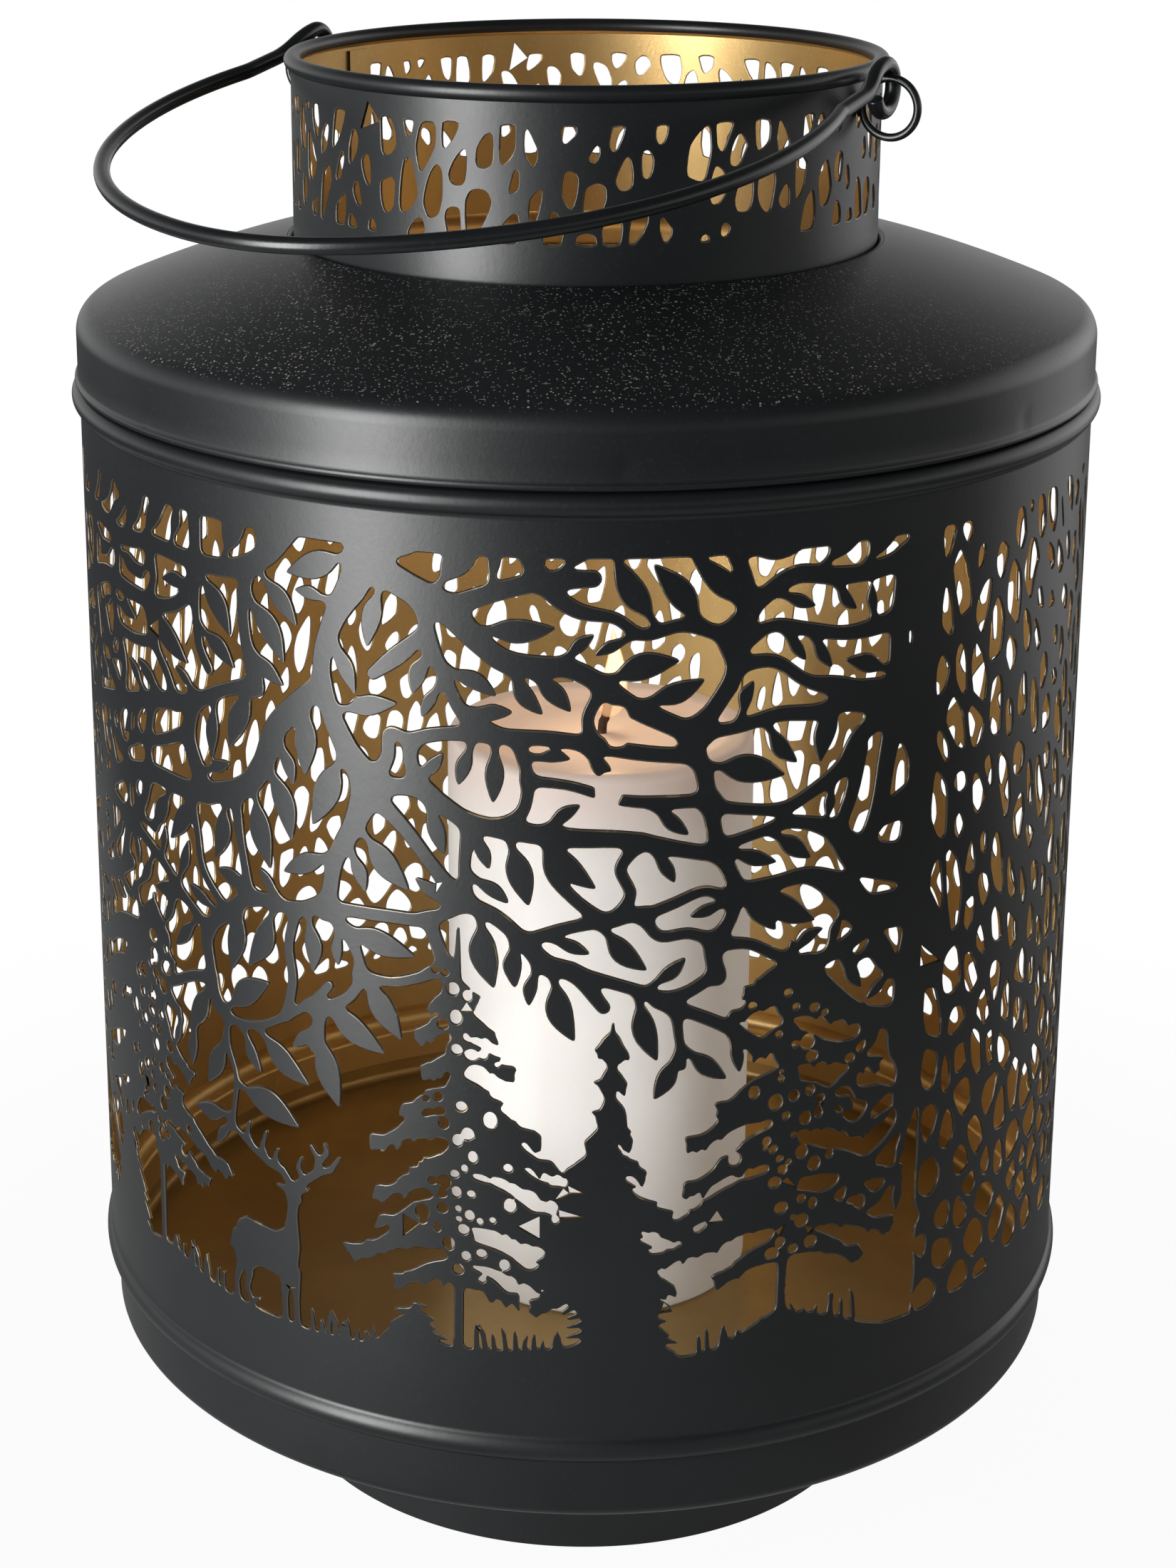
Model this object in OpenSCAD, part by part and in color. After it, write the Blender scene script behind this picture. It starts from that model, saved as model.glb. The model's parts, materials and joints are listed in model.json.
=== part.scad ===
// Pierced sheet-metal candle lantern with a wire bail.
// The lantern's axis is Z and it stands on z = 0. Azimuths are counted from the front (-Y) towards +X.

/* [Sheet metal] */
// Thickness of the drum, lid, collar and pan sheet
sheet = 0.6; // [0.5:0.1:0.9]
// Thickness of the foot ring's wall
foot_sheet = 0.8; // [0.6:0.1:1.2]
// Side clearance where one sheet piece slides into another
slip = 0.2; // [0.1:0.05:0.3]

/* [Foot ring] */
// Outer diameter of the foot ring
foot_d = 126.6; // [100:1:150]
// Height of the foot ring
foot_h = 29.9; // [20:0.5:45]
// Width of the flange that is welded under the pan
foot_flange = 9; // [5:0.5:14]

/* [Base pan] */
// Step from the drum's wall in to the pan's wall
pan_inset = 1.2; // [0.8:0.1:2]
// Height of the pan, from its underside to its rim
pan_h = 12.1; // [10:0.1:16]
// Outside radius of the pan's lower corner
pan_corner = 2.4; // [1.5:0.1:4]

/* [Drum] */
// Outer diameter of the drum's wall
drum_d = 200; // [170:1:240]
// Height from the bottom bead's centre to the top bead's centre
drum_h = 180.7; // [165:0.5:220]
// Radius of the top bead's round
top_bead_r = 2.21; // [1.8:0.05:2.6]
// Radius of the bottom bead's round
low_bead_r = 3.05; // [2.6:0.05:3.4]
// Gap between the pan's rim and the bottom bead above it
bead_gap = 0.15; // [0.1:0.05:0.4]
// Depth that the drum's lower neck reaches into the pan
low_neck = 6.8; // [4:0.2:8]
// Height of the drum's upper neck above the top bead's centre
top_neck = 10; // [6:0.5:11]
// Width of the lap seam at the back
seam_w = 7; // [4:0.5:12]
// Azimuth of the drum's lap seam
seam_az = 159.5; // [100:0.5:250]

/* [Pierced pattern] */
// Height of the plain band above the bottom bead's centre
low_band = 17; // [12:0.5:24]
// Height of the plain band below the top bead's centre
top_band = 9.7; // [7:0.1:16]
// Azimuth where the woodland begins at the left
wood_from = -76; // [-90:1:-60]
// Azimuth of the straight edge where the woodland ends at the right
wood_to = 38; // [30:1:60]
// Height of the lower edge of the leafy boughs above the pattern's lower edge
bough_low = 52; // [46:1:62]
// Distance between neighbouring openings in the boughs
bough_pitch = 13.6; // [13:0.1:20]
// Distance between neighbouring columns of bark openings
bark_pitch = 12.8; // [12:0.1:20]
// Distance between rows of bark openings
bark_row = 21; // [19:0.1:30]
// Narrowest strip of metal that stays between two openings
web = 2; // [1.6:0.1:3]
// Height of the stag with its antlers
stag_h = 38; // [24:1:40]
// Azimuth of the stag's middle
stag_az = -36; // [-40:1:-32]

/* [Lid] */
// Step from the drum's wall out to the lid's skirt
lid_proud = 0.3; // [0.2:0.05:0.8]
// Height of the skirt, from its hem to where the dome's line meets it
skirt_h = 13.2; // [12:0.1:20]
// Rise of the dome from the skirt's corner to the throat
dome_rise = 14; // [8:0.5:24]
// Bulge of the dome above a straight cone
dome_bulge = 1.1; // [0.6:0.1:2]
// Radius of the shoulder between the dome and the skirt
shoulder_r = 4.9; // [3:0.1:7]
// Radius of the rolled hem at the skirt's lower edge
hem_r = 0.8; // [0.7:0.05:1]
// Gap between the lid's hem and the top bead under it
lid_gap = 0.2; // [0.1:0.05:0.4]
// Depth of the flange that is turned down round the throat
throat_flange = 5.5; // [4:0.5:8]

/* [Collar] */
// Outer diameter of the collar's wall
collar_d = 114.8; // [90:0.2:125]
// Height of the collar above the lid's throat, up to the rim bead's centre
collar_h = 34; // [24:0.5:60]
// Radius of the rolled rim bead
rim_r = 1.6; // [1.3:0.05:2]
// Width of the crimped lip under the lid's throat
crimp_w = 1.2; // [1:0.1:2]
// Height of the collar's plain band below its openings
collar_low_band = 6.5; // [4:0.5:12]
// Height of the collar's plain band between its openings and the rim bead's centre
collar_top_band = 5; // [4:0.5:10]
// Number of columns of openings round the collar
collar_columns = 42; // [30:1:44]
// Width of the collar's lap seam
collar_seam_w = 6; // [4:0.5:10]
// Azimuth of the collar's lap seam
collar_seam_az = 219; // [190:1:240]

/* [Ear rings] */
// Diameter of the ear ring's wire
ear_wire = 1.55; // [1.3:0.05:1.8]
// Outer diameter of an ear ring
ear_d = 12.55; // [12:0.05:14]
// Height of an ear ring's centre below the rim bead's centre
ear_drop = 5.8; // [5.6:0.1:6.2]

/* [Bail] */
// Diameter of the bail's wire
bail_wire = 3; // [2.6:0.1:3.2]
// Azimuth of the bail's right hook
hinge_az = 62; // [40:1:90]
// Angle that the bail leans below level at rest
bail_lean = 8.9; // [4:0.1:10]
// Reach of the bail from the hinge line to the middle of the bow
bail_reach = 117.4; // [112:0.2:130]
// Radius of the bow at its middle
bow_r = 50; // [44:0.5:56]
// Radius of the bow's legs
leg_r = 82; // [76:0.5:88]
// Radius of the bend where a leg turns straight again
neck_r = 10; // [8:0.5:12]
// Radius of the hook at the wire's middle
hook_r = 4.4; // [4.3:0.05:4.6]
// Height of the bail's plane above the hooks' centres
bail_rise = 1.8; // [1.4:0.1:2.4]
// Radius of the two bends between a leg and its hook
crank_r = 15.5; // [12:0.5:18]

/* [Candle] */
// Diameter of the pillar candle
candle_d = 64; // [50:1:70]
// Height of the pillar candle
candle_h = 120; // [80:1:150]
// Sideways place of the candle
candle_x = 4; // [-12:1:12]
// Place of the candle towards the back
candle_y = 6; // [-12:1:12]
// Radius of the candle's rounded shoulder
candle_round = 2; // [1:0.5:4]
// Depth of the pool that the flame has melted
pool_depth = 1.2; // [0.5:0.1:3]
// Diameter of the wick
wick_d = 2; // [1.5:0.1:3]
// Length of wick that stands out of the wax
wick_out = 9; // [6:0.5:15]
// Side clearance of the wick in the wax
wick_slip = 0.1; // [0.05:0.05:0.2]

/* [Hidden] */
$fn = 96;

black = [0.07, 0.07, 0.08];
wax = [0.95, 0.93, 0.88];
char_brown = [0.25, 0.17, 0.12];

// Overrun of every cut past the faces that it opens
over = 1;

foot_r = foot_d / 2;
drum_r = drum_d / 2;
pan_r = drum_r - pan_inset;
lid_r = drum_r + lid_proud;
collar_r = collar_d / 2;
floor_z = foot_h + sheet;
pan_top = foot_h + pan_h;

// Drum heights and radii
low_bead_z = pan_top + bead_gap + low_bead_r;
top_bead_z = low_bead_z + drum_h;
low_neck_r = pan_r - sheet - slip;
top_neck_r = lid_r - sheet - slip;
low_bead_centre_r = low_neck_r + sheet / 8;
top_bead_centre_r = drum_r - sheet;
pattern_low = low_bead_z + low_band;
pattern_top = top_bead_z - top_band;
mm_per_deg = drum_r * PI / 180;

// Lid heights and the circle that the dome's section follows
hem_z = top_bead_z + top_bead_r + lid_gap;
corner_z = hem_z + skirt_h;
throat_r = collar_r + slip;
throat_z = corner_z + dome_rise;
dome_run = lid_r - throat_r;
dome_chord = norm([dome_run, dome_rise]);
dome_circle_r = (pow(dome_chord / 2, 2) + pow(dome_bulge, 2)) / (2 * dome_bulge);
dome_normal = [dome_rise, dome_run] / dome_chord;
dome_centre = [throat_r + dome_run / 2, corner_z + dome_rise / 2]
    - (dome_circle_r - dome_bulge) * dome_normal;
shoulder_at_r = lid_r - shoulder_r;
shoulder_run = shoulder_at_r - dome_centre[0];
shoulder_climb = sqrt(pow(dome_circle_r - shoulder_r, 2) - pow(shoulder_run, 2));
shoulder_at_z = dome_centre[1] + shoulder_climb;

// Collar heights
flange_low = throat_z - throat_flange;
rim_z = throat_z + collar_h;
collar_hole_low = throat_z + collar_low_band;
collar_hole_top = rim_z - collar_top_band;

// Hinge line of the bail, and the hooks on it
ear_r = (ear_d - ear_wire) / 2;
ear_at = collar_r + ear_d / 2;
ear_z = rim_z - ear_drop;
hook_in_share = 0.43;
hook_at = ear_at - hook_in_share * bail_wire;
hook_offset = ear_at - hook_at;
ear_cross_z = ear_z + sqrt(pow(ear_r, 2) - pow(hook_offset, 2));
hook_play_share = 0.135;
hook_inner_r = hook_r - bail_wire / 2;
hook_play = hook_inner_r * hook_play_share;
hinge_z = ear_cross_z - (hook_inner_r - ear_wire / 2 - hook_play);
hook_turn = 255;

// The bow is a chain of arcs that touch smoothly; angles count from its middle
bow_angle = 18;
side_angle = 68;
leg_angle = 103;
crank_in = hook_offset;
crank_up = hook_r - bail_rise;
crank_shift = norm([crank_in, crank_up]);
crank_angle = acos(1 - crank_shift / (2 * crank_r));
crank_length = 2 * crank_r * sin(crank_angle);
leg_end = ear_at;
side_r = (leg_end - bow_r * sin(bow_angle) - leg_r * (sin(leg_angle) - sin(side_angle))
          + neck_r * (1 - sin(leg_angle))) / (sin(side_angle) - sin(bow_angle));
bow_centre = [0, bail_reach - bow_r];
side_centre = bow_centre - (side_r - bow_r) * [sin(bow_angle), cos(bow_angle)];
leg_centre = side_centre - (leg_r - side_r) * [sin(side_angle), cos(side_angle)];
leg_foot = leg_centre + leg_r * [sin(leg_angle), cos(leg_angle)];
neck_centre = leg_foot + neck_r * [sin(leg_angle), cos(leg_angle)];
straight_top = neck_centre[1];

// Candle places
candle_r = candle_d / 2;
candle_top = floor_z + candle_h;
wick_r = wick_d / 2;
wick_bend_share = 0.45;
wick_bend = wick_out * wick_bend_share;
wick_bend_angle = 65;
pool_r = candle_r - 2 * candle_round;
pool_circle_r = (pow(pool_r, 2) + pow(pool_depth, 2)) / (2 * pool_depth);

// A repeatable spread between -1 and 1 for the piece numbered i, j
spread_turns = [127.1, 311.7, 74.7];
spread_gain_share = 43.7;
function spread(i, j, k) =
    let (v = spread_gain_share * abs(sin(spread_turns * [i, j, k]))) 2 * (v - floor(v)) - 1;

// Rounded, slightly pear-shaped outline of one opening
pear_share = 0.22;
function pebble(w, h, lean, sides) = [for (i = [0:sides - 1])
    let (a = (i + 0.5) * 360 / sides, x = w / 2 * cos(a) * (1 - pear_share * sin(a)), y = h / 2 * sin(a))
    [x * cos(lean) - y * sin(lean), x * sin(lean) + y * cos(lean)]];

// Puts a flat outline on a wall of radius r, at an azimuth and a height, and cuts through it
cut_from_share = 0.92;
module pierce(r, az, z) {
    rotate([0, 0, az - 90]) translate([r * cut_from_share, 0, z]) rotate([90, 0, 90])
        linear_extrude(r * (1 - cut_from_share) + over) children();
}

// One side of a fir, from its foot up: tiers of boughs that narrow towards the top
fir_tiers = 7;
bough_in_share = 0.42;
bough_up_share = 0.35;
fir_taper_share = 0.86;
function fir_edge(half, low, high, side) = [for (i = [0:2 * fir_tiers])
    let (tier = floor(i / 2), up = (tier + (i % 2) * bough_up_share) / fir_tiers,
         full = half * (1 - fir_taper_share * up), x = i % 2 == 0 ? full * bough_in_share : full)
    [side * max(x, web / 2), low + (high - low) * up]];

// Firs from left to right: azimuths, then half widths, feet and tips as shares of the boughs' lower edge
fir_azimuths = [-60, -13, 4.2, 21.5];
fir_half_shares = [0.21, 0.27, 0.17, 0.29];
fir_foot_shares = [0, 0, 0, 0.08];
fir_tip_shares = [1.19, 1.35, 1.54, 1.73];

// Stag outline, standing on its feet and looking to the right, as shares of its height
stag_shares = [
    [-0.27, 0.00], [-0.22, 0.00], [-0.205, 0.13], [-0.17, 0.24], [0.01, 0.22], [0.02, 0.12], [0.005, 0.00],
    [0.05, 0.00], [0.075, 0.14], [0.09, 0.26], [0.13, 0.40], [0.15, 0.47], [0.22, 0.46], [0.235, 0.50],
    [0.16, 0.55], [0.19, 0.66], [0.29, 0.74], [0.33, 0.84], [0.27, 0.80], [0.20, 0.74], [0.22, 0.88],
    [0.17, 0.76], [0.12, 0.62], [0.04, 0.70], [0.00, 0.82], [-0.02, 0.98], [-0.07, 0.84], [-0.01, 0.70],
    [-0.10, 0.78], [-0.03, 0.64], [0.07, 0.55], [0.03, 0.46], [-0.06, 0.41], [-0.22, 0.42], [-0.27, 0.38],
    [-0.26, 0.22]];

function at_az(points, az, middle) = [for (p = points) [p[0] + (az - middle) * mm_per_deg, p[1]]];
function flipped(points) = [for (i = [len(points) - 1:-1:0]) points[i]];

// Side of the fir numbered k, seen from an azimuth, as far up as a height
function fir_side(k, side, middle, top) =
    let (edge = fir_edge(bough_low * fir_half_shares[k], bough_low * fir_foot_shares[k],
                         bough_low * fir_tip_shares[k], side))
    [for (p = at_az(edge, fir_azimuths[k], middle)) if (p[1] < top) p];

// Opening between two firs that stand beside each other, up to the lower edge of the boughs
gap_top_share = 0.92;
module gap_between(k) {
    middle = (fir_azimuths[k] + fir_azimuths[k + 1]) / 2;
    pierce(drum_r, middle, pattern_low)
        polygon(concat(fir_side(k, 1, middle, bough_low), [[0, bough_low * gap_top_share]],
            flipped(fir_side(k + 1, -1, middle, bough_low))));
}

// Clearing with the stag, between the left fir and the ragged one
module stag_clearing() {
    pierce(drum_r, stag_az, pattern_low) difference() {
        polygon(concat(fir_side(0, 1, stag_az, bough_low - web), [[-stag_h / 4, bough_low - web * 3],
            [0, bough_low - web * 2], [stag_h / 4, bough_low - web * 3]],
            flipped(fir_side(1, -1, stag_az, bough_low - web))));
        translate([0, -over]) scale(stag_h + over) polygon(stag_shares);
    }
}

// Opening between the wide fir and the straight edge of the woodland
module edge_gap() {
    middle = (fir_azimuths[3] + wood_to) / 2;
    edge = (wood_to - middle) * mm_per_deg;
    pierce(drum_r, middle, pattern_low)
        polygon(concat(fir_side(3, 1, middle, bough_low),
            [[edge, bough_low], [edge, bough_low * fir_foot_shares[3]]]));
}

// Openings among the leafy boughs, in staggered rows; each leans, and has its width and height, by its number
bough_shift_share = 0.25;
bough_lean = 50;
bough_lean_turn = 37;
bough_lean_spread = 20;
bough_wide_share = 0.62;
bough_high_share = 0.92;
bough_spread_share = 0.07;
module bough_openings() {
    width = (wood_to - wood_from) * mm_per_deg;
    columns = floor(width / bough_pitch);
    rows = floor((pattern_top - pattern_low - bough_low) / bough_pitch);
    size = bough_pitch - web;
    row_h = (pattern_top - pattern_low - bough_low) / rows;
    for (j = [0:rows - 1], i = [0:columns - 1]) {
        az = wood_from
            + (i + 0.5 + bough_shift_share * (j % 2 == 0 ? 1 : -1)) * (wood_to - wood_from) / columns;
        lean = bough_lean * sin((i + 2 * j) * bough_lean_turn) + bough_lean_spread * spread(i, j, 1);
        w = size * (bough_wide_share + bough_spread_share * spread(i, j, 2));
        h = size * (bough_high_share + bough_spread_share * spread(i, j, 3));
        pierce(drum_r, az, pattern_low + bough_low + (j + 0.5) * row_h) polygon(pebble(w, h, lean, 7));
    }
}

// Openings like the gaps in cracked bark, in staggered upright rows; plain_az and plain_w keep a seam whole
bark_high_share = 0.84;
bark_high_spread_share = 0.1;
bark_wide_share = 0.72;
bark_wide_spread_share = 0.16;
bark_shift_share = 0.12;
bark_lean = 6;
module bark_openings(r, from, to, low, high, columns, row, wide, plain_az, plain_w) {
    rows = max(1, floor((high - low) / row));
    row_h = (high - low) / rows;
    for (i = [0:columns - 1], j = [0:rows - 1]) {
        az = from + (i + 0.5) * (to - from) / columns;
        h = (row_h - web) * (bark_high_share + bark_high_spread_share * spread(i, j, 4));
        w = (wide - web) * (bark_wide_share + bark_wide_spread_share * spread(i, j, 5));
        shift = (i % 2 == 0 ? 1 : -1) * min(row_h * bark_shift_share, (row_h - web - h) / 2);
        z = low + (j + 0.5) * row_h + shift;
        if (abs(az - plain_az) * PI / 180 * r > (plain_w + w) / 2 + web / 2)
            pierce(r, az, z) polygon(pebble(w, h, bark_lean * spread(i, j, 6), 6));
    }
}

// Half-round bead shell with its centre at (r, z); its open side starts at r_low below and r_high above
module bead_shell(r, z, bead, r_low, r_high) {
    intersection() {
        translate([r, z]) difference() {
            circle(bead);
            circle(bead - sheet);
        }
        union() {
            translate([r_high, z]) square([bead * 2, bead * 2]);
            translate([r_low, z - bead * 2]) square([bead * 2, bead * 2]);
        }
    }
}

// Section of a cup from the axis out to r, with a rounded lower corner
module cup_section(r, low, high, corner) {
    translate([0, low]) square([r - corner, high - low]);
    translate([0, low + corner]) square([r, high - low - corner]);
    translate([r - corner, low + corner]) circle(corner);
}

module foot_ring() {
    color(black) rotate_extrude() {
        translate([foot_r - foot_sheet, 0]) square([foot_sheet, foot_h]);
        translate([foot_r - foot_flange, foot_h - foot_sheet]) square([foot_flange, foot_sheet]);
    }
}

module base_pan() {
    color(black) rotate_extrude() difference() {
        cup_section(pan_r, foot_h, pan_top, pan_corner);
        cup_section(pan_r - sheet, floor_z, pan_top + over, pan_corner - sheet);
    }
}

module drum_section() {
    inner = drum_r - sheet;
    low_joint = low_bead_z + sqrt(pow(low_bead_r - sheet, 2) - pow(inner - low_bead_centre_r, 2));
    top_joint = top_bead_z - top_bead_r + sheet;
    translate([inner, low_joint]) square([sheet, top_joint - low_joint]);
    bead_shell(low_bead_centre_r, low_bead_z, low_bead_r, low_neck_r - sheet, inner);
    bead_shell(top_bead_centre_r, top_bead_z, top_bead_r, inner, top_neck_r - sheet);
    translate([low_neck_r - sheet, pan_top - low_neck])
        square([sheet, low_neck + bead_gap + sheet]);
    translate([top_neck_r - sheet, top_bead_z + top_bead_r - sheet]) square([sheet, top_neck - top_bead_r]);
}

// Strip of the lapped sheet that lies inside a rolled wall and reaches into it
lap_share = 1.5;
module lap_strip(r, width, az, low, high) {
    sweep = width / r * 180 / PI;
    rotate([0, 0, az - 90 - sweep / 2]) rotate_extrude(angle = sweep)
        translate([r - 2 * sheet, low]) square([lap_share * sheet, high - low]);
}

// Angle of plain sheet between the woodland and the bark
edge_turn = 1.5;
module drum() {
    bark_from = wood_to + edge_turn;
    bark_to = wood_from + 360 - edge_turn;
    bark_columns = floor((bark_to - bark_from) * mm_per_deg / bark_pitch);
    color(black) {
        difference() {
            rotate_extrude() drum_section();
            gap_between(1);
            gap_between(2);
            stag_clearing();
            edge_gap();
            bough_openings();
            bark_openings(drum_r, bark_from, bark_to, pattern_low, pattern_top, bark_columns, bark_row,
                bark_pitch, seam_az, seam_w);
        }
        lap_strip(drum_r, seam_w, seam_az, low_bead_z + low_bead_r, top_bead_z - top_bead_r);
    }
}

// Region under the lid's surface, moved inwards by the sheet for the inner side
past_share = 1.1;
module lid_region(inset, low) {
    intersection() {
        translate(dome_centre) circle(dome_circle_r - inset, $fn = 360);
        polygon([dome_centre, dome_centre + past_share * [shoulder_run, shoulder_climb],
            [0, throat_z * past_share], [0, dome_centre[1]]]);
        translate([0, low]) square([lid_r, throat_z]);
    }
    translate([shoulder_at_r, shoulder_at_z]) circle(shoulder_r - inset);
    translate([0, low]) square([lid_r - inset, shoulder_at_z - low]);
}

module lid() {
    color(black) rotate_extrude() {
        difference() {
            lid_region(0, hem_z);
            lid_region(sheet, hem_z - over);
            translate([0, hem_z - over]) square([throat_r, throat_z]);
        }
        translate([throat_r, flange_low]) square([sheet, throat_flange - sheet / 2]);
        intersection() {
            translate([lid_r - sheet / 3, hem_z + hem_r]) circle(hem_r);
            translate([lid_r - sheet, hem_z]) square([2 * hem_r, 2 * hem_r]);
        }
    }
}

collar_row_share = 0.42;
module collar() {
    wall_top = rim_z - sqrt(pow(rim_r, 2) - pow(sheet, 2));
    color(black) {
        difference() {
            rotate_extrude() {
                translate([collar_r - sheet, flange_low - sheet])
                    square([sheet, wall_top - flange_low + 2 * sheet]);
                translate([collar_r - sheet, flange_low - sheet]) square([crimp_w + sheet, sheet]);
                translate([collar_r - sheet / 2, rim_z]) difference() {
                    circle(rim_r);
                    circle(rim_r - sheet);
                }
            }
            bark_openings(collar_r, 0, 360, collar_hole_low, collar_hole_top, collar_columns,
                (collar_hole_top - collar_hole_low) * collar_row_share, 2 * PI * collar_r / collar_columns,
                collar_seam_az, collar_seam_w);
        }
        lap_strip(collar_r, collar_seam_w, collar_seam_az, collar_hole_low - collar_low_band,
            rim_z - 1.5 * rim_r);
    }
}

// Closed ring of wire; its near side lies on the collar's wall
module ear_ring() {
    color(black) translate([ear_at, 0, ear_z]) rotate([90, 0, 0])
        rotate_extrude() translate([ear_r, 0]) circle(d = ear_wire);
}

module ear_ring_right() {
    rotate([0, 0, hinge_az - 90]) ear_ring();
}

module ear_ring_left() {
    rotate([0, 0, hinge_az + 90]) ear_ring();
}

// Points along an arc about a centre in the bow's plane, between two angles from the bow's middle line
function arc_points(centre, r, from, to, steps, sign = 1) = [for (i = [1:steps])
    let (a = from + (to - from) * i / steps)
    [centre[0] + sign * r * sin(a), centre[1] + sign * r * cos(a), 0]];

// The two bends that carry the leg sideways and up onto the top of the hook, from the leg to the hook
function crank_points(steps) = [for (i = [1:2 * steps])
    let (a = crank_angle * (i <= steps ? i : 2 * steps - i) / steps,
         moved = crank_r * (1 - cos(a)), along = crank_r * sin(a),
         share = i <= steps ? moved / crank_shift : 1 - moved / crank_shift,
         y = i <= steps ? crank_length - along : along)
    [leg_end - crank_in * share, y, crank_up * share]];

// The hook, from its top over the far side and back underneath
function hook_points(steps) = [for (i = [1:steps])
    let (a = hook_turn * i / steps)
    [hook_at, -hook_r * sin(a), hook_r * cos(a) - bail_rise]];

// Right half of the bail's centreline: X along the hinge line, Y outwards, Z up from the bail's plane
arc_steps = 8;
hook_steps = 20;
half_bail = concat([[0, bail_reach, 0]],
    arc_points(bow_centre, bow_r, 0, bow_angle, arc_steps / 2),
    arc_points(side_centre, side_r, bow_angle, side_angle, arc_steps),
    arc_points(leg_centre, leg_r, side_angle, leg_angle, arc_steps),
    arc_points(neck_centre, neck_r, leg_angle, 90, arc_steps / 4, -1),
    [[leg_end, crank_length, 0]], crank_points(arc_steps / 2), hook_points(hook_steps));
whole_bail = concat([for (i = [len(half_bail) - 1:-1:1])
    [-half_bail[i][0], half_bail[i][1], half_bail[i][2]]], half_bail);

function unit(v) = v / norm(v);
function tangents(points) = [for (i = [0:len(points) - 1])
    unit(points[min(i + 1, len(points) - 1)] - points[max(i - 1, 0)])];
function normals(along, start) = [for (i = 0, n = unit(start - (start * along[0]) * along[0]); i < len(along);
    i = i + 1, n = unit(n - (n * along[min(i, len(along) - 1)]) * along[min(i, len(along) - 1)])) n];

// Round wire that follows a line of points; start is any direction across its first stretch
module wire(points, d, sides, start) {
    along = tangents(points);
    across = normals(along, start);
    rings = [for (i = [0:len(points) - 1], k = [0:sides - 1])
        let (a = 360 * k / sides)
        points[i] + d / 2 * (cos(a) * across[i] + sin(a) * cross(along[i], across[i]))];
    last = (len(points) - 1) * sides;
    polyhedron(rings, concat(
        [for (i = [0:len(points) - 2], k = [0:sides - 1])
            [i * sides + k, (i + 1) * sides + k, i * sides + (k + 1) % sides]],
        [for (i = [0:len(points) - 2], k = [0:sides - 1])
            [i * sides + (k + 1) % sides, (i + 1) * sides + k, (i + 1) * sides + (k + 1) % sides]],
        [[for (k = [0:sides - 1]) k]], [[for (k = [sides - 1:-1:0]) last + k]]));
}

module bail() {
    color(black) translate([0, 0, hinge_z]) rotate([0, 0, hinge_az + 90]) rotate([-bail_lean, 0, 0])
        translate([0, 0, bail_rise]) wire(whole_bail, bail_wire, 12, [1, 0, 0]);
}

module candle() {
    color(wax) translate([candle_x, candle_y, 0]) difference() {
        rotate_extrude() difference() {
            union() {
                translate([0, floor_z]) square([candle_r, candle_h - candle_round]);
                translate([0, floor_z]) square([candle_r - candle_round, candle_h]);
                translate([candle_r - candle_round, candle_top - candle_round]) circle(candle_round);
            }
            intersection() {
                translate([0, candle_top - pool_depth + pool_circle_r]) circle(pool_circle_r, $fn = 360);
                translate([0, candle_top - 2 * pool_depth]) square([pool_r + candle_round, 3 * pool_depth]);
            }
        }
        translate([0, 0, floor_z - over]) cylinder(r = wick_r + wick_slip, h = candle_h + 2 * over);
    }
}

// Cotton wick: straight through the wax, then curled over to the right
module wick() {
    straight = candle_h - pool_depth + wick_out - wick_bend;
    curl = [for (i = [0:5]) let (a = wick_bend_angle * i / 5)
        [wick_bend * (1 - cos(a)), 0, straight + wick_bend * sin(a)]];
    color(char_brown) translate([candle_x, candle_y, floor_z])
        wire(concat([[0, 0, 0], [0, 0, straight / 2]], curl), wick_d, 12, [1, 0, 0]);
}

foot_ring();
base_pan();
drum();
lid();
collar();
ear_ring_right();
ear_ring_left();
bail();
candle();
wick();
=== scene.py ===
"""Looks of a pierced sheet-metal candle lantern with a wire bail.

The lantern's axis is Z, the front faces -Y and azimuths count from the front towards +X. Shapes are
worked out in millimetres and go into Blender in metres.
"""
import json
import math

import bpy
import numpy as np
from mathutils import Matrix, Vector
from mathutils.geometry import delaunay_2d_cdt


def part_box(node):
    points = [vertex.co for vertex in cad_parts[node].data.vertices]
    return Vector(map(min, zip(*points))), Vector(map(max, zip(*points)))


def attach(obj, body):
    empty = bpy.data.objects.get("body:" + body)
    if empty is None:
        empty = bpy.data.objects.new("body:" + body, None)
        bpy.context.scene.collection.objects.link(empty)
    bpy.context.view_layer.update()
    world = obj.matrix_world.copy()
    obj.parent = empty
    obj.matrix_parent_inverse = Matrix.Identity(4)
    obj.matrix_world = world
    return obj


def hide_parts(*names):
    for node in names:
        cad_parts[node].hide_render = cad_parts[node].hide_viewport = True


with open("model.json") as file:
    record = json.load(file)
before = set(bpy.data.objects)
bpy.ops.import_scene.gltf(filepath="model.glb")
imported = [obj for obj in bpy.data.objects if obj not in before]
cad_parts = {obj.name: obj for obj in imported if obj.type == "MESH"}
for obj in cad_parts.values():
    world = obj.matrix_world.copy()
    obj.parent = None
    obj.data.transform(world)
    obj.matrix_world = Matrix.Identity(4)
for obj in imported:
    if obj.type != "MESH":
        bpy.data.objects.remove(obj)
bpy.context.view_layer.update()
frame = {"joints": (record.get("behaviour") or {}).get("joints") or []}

MM = 0.001
STEPS = 480                   # facets round the lantern's axis
BLACK, GOLD, EDGE = 0, 1, 2   # material slots of every sheet piece


def node_box(name):
    """Lowest and highest corner of a CAD node, in millimetres."""
    low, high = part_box(name)
    return np.array(low) / MM, np.array(high) / MM


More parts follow.
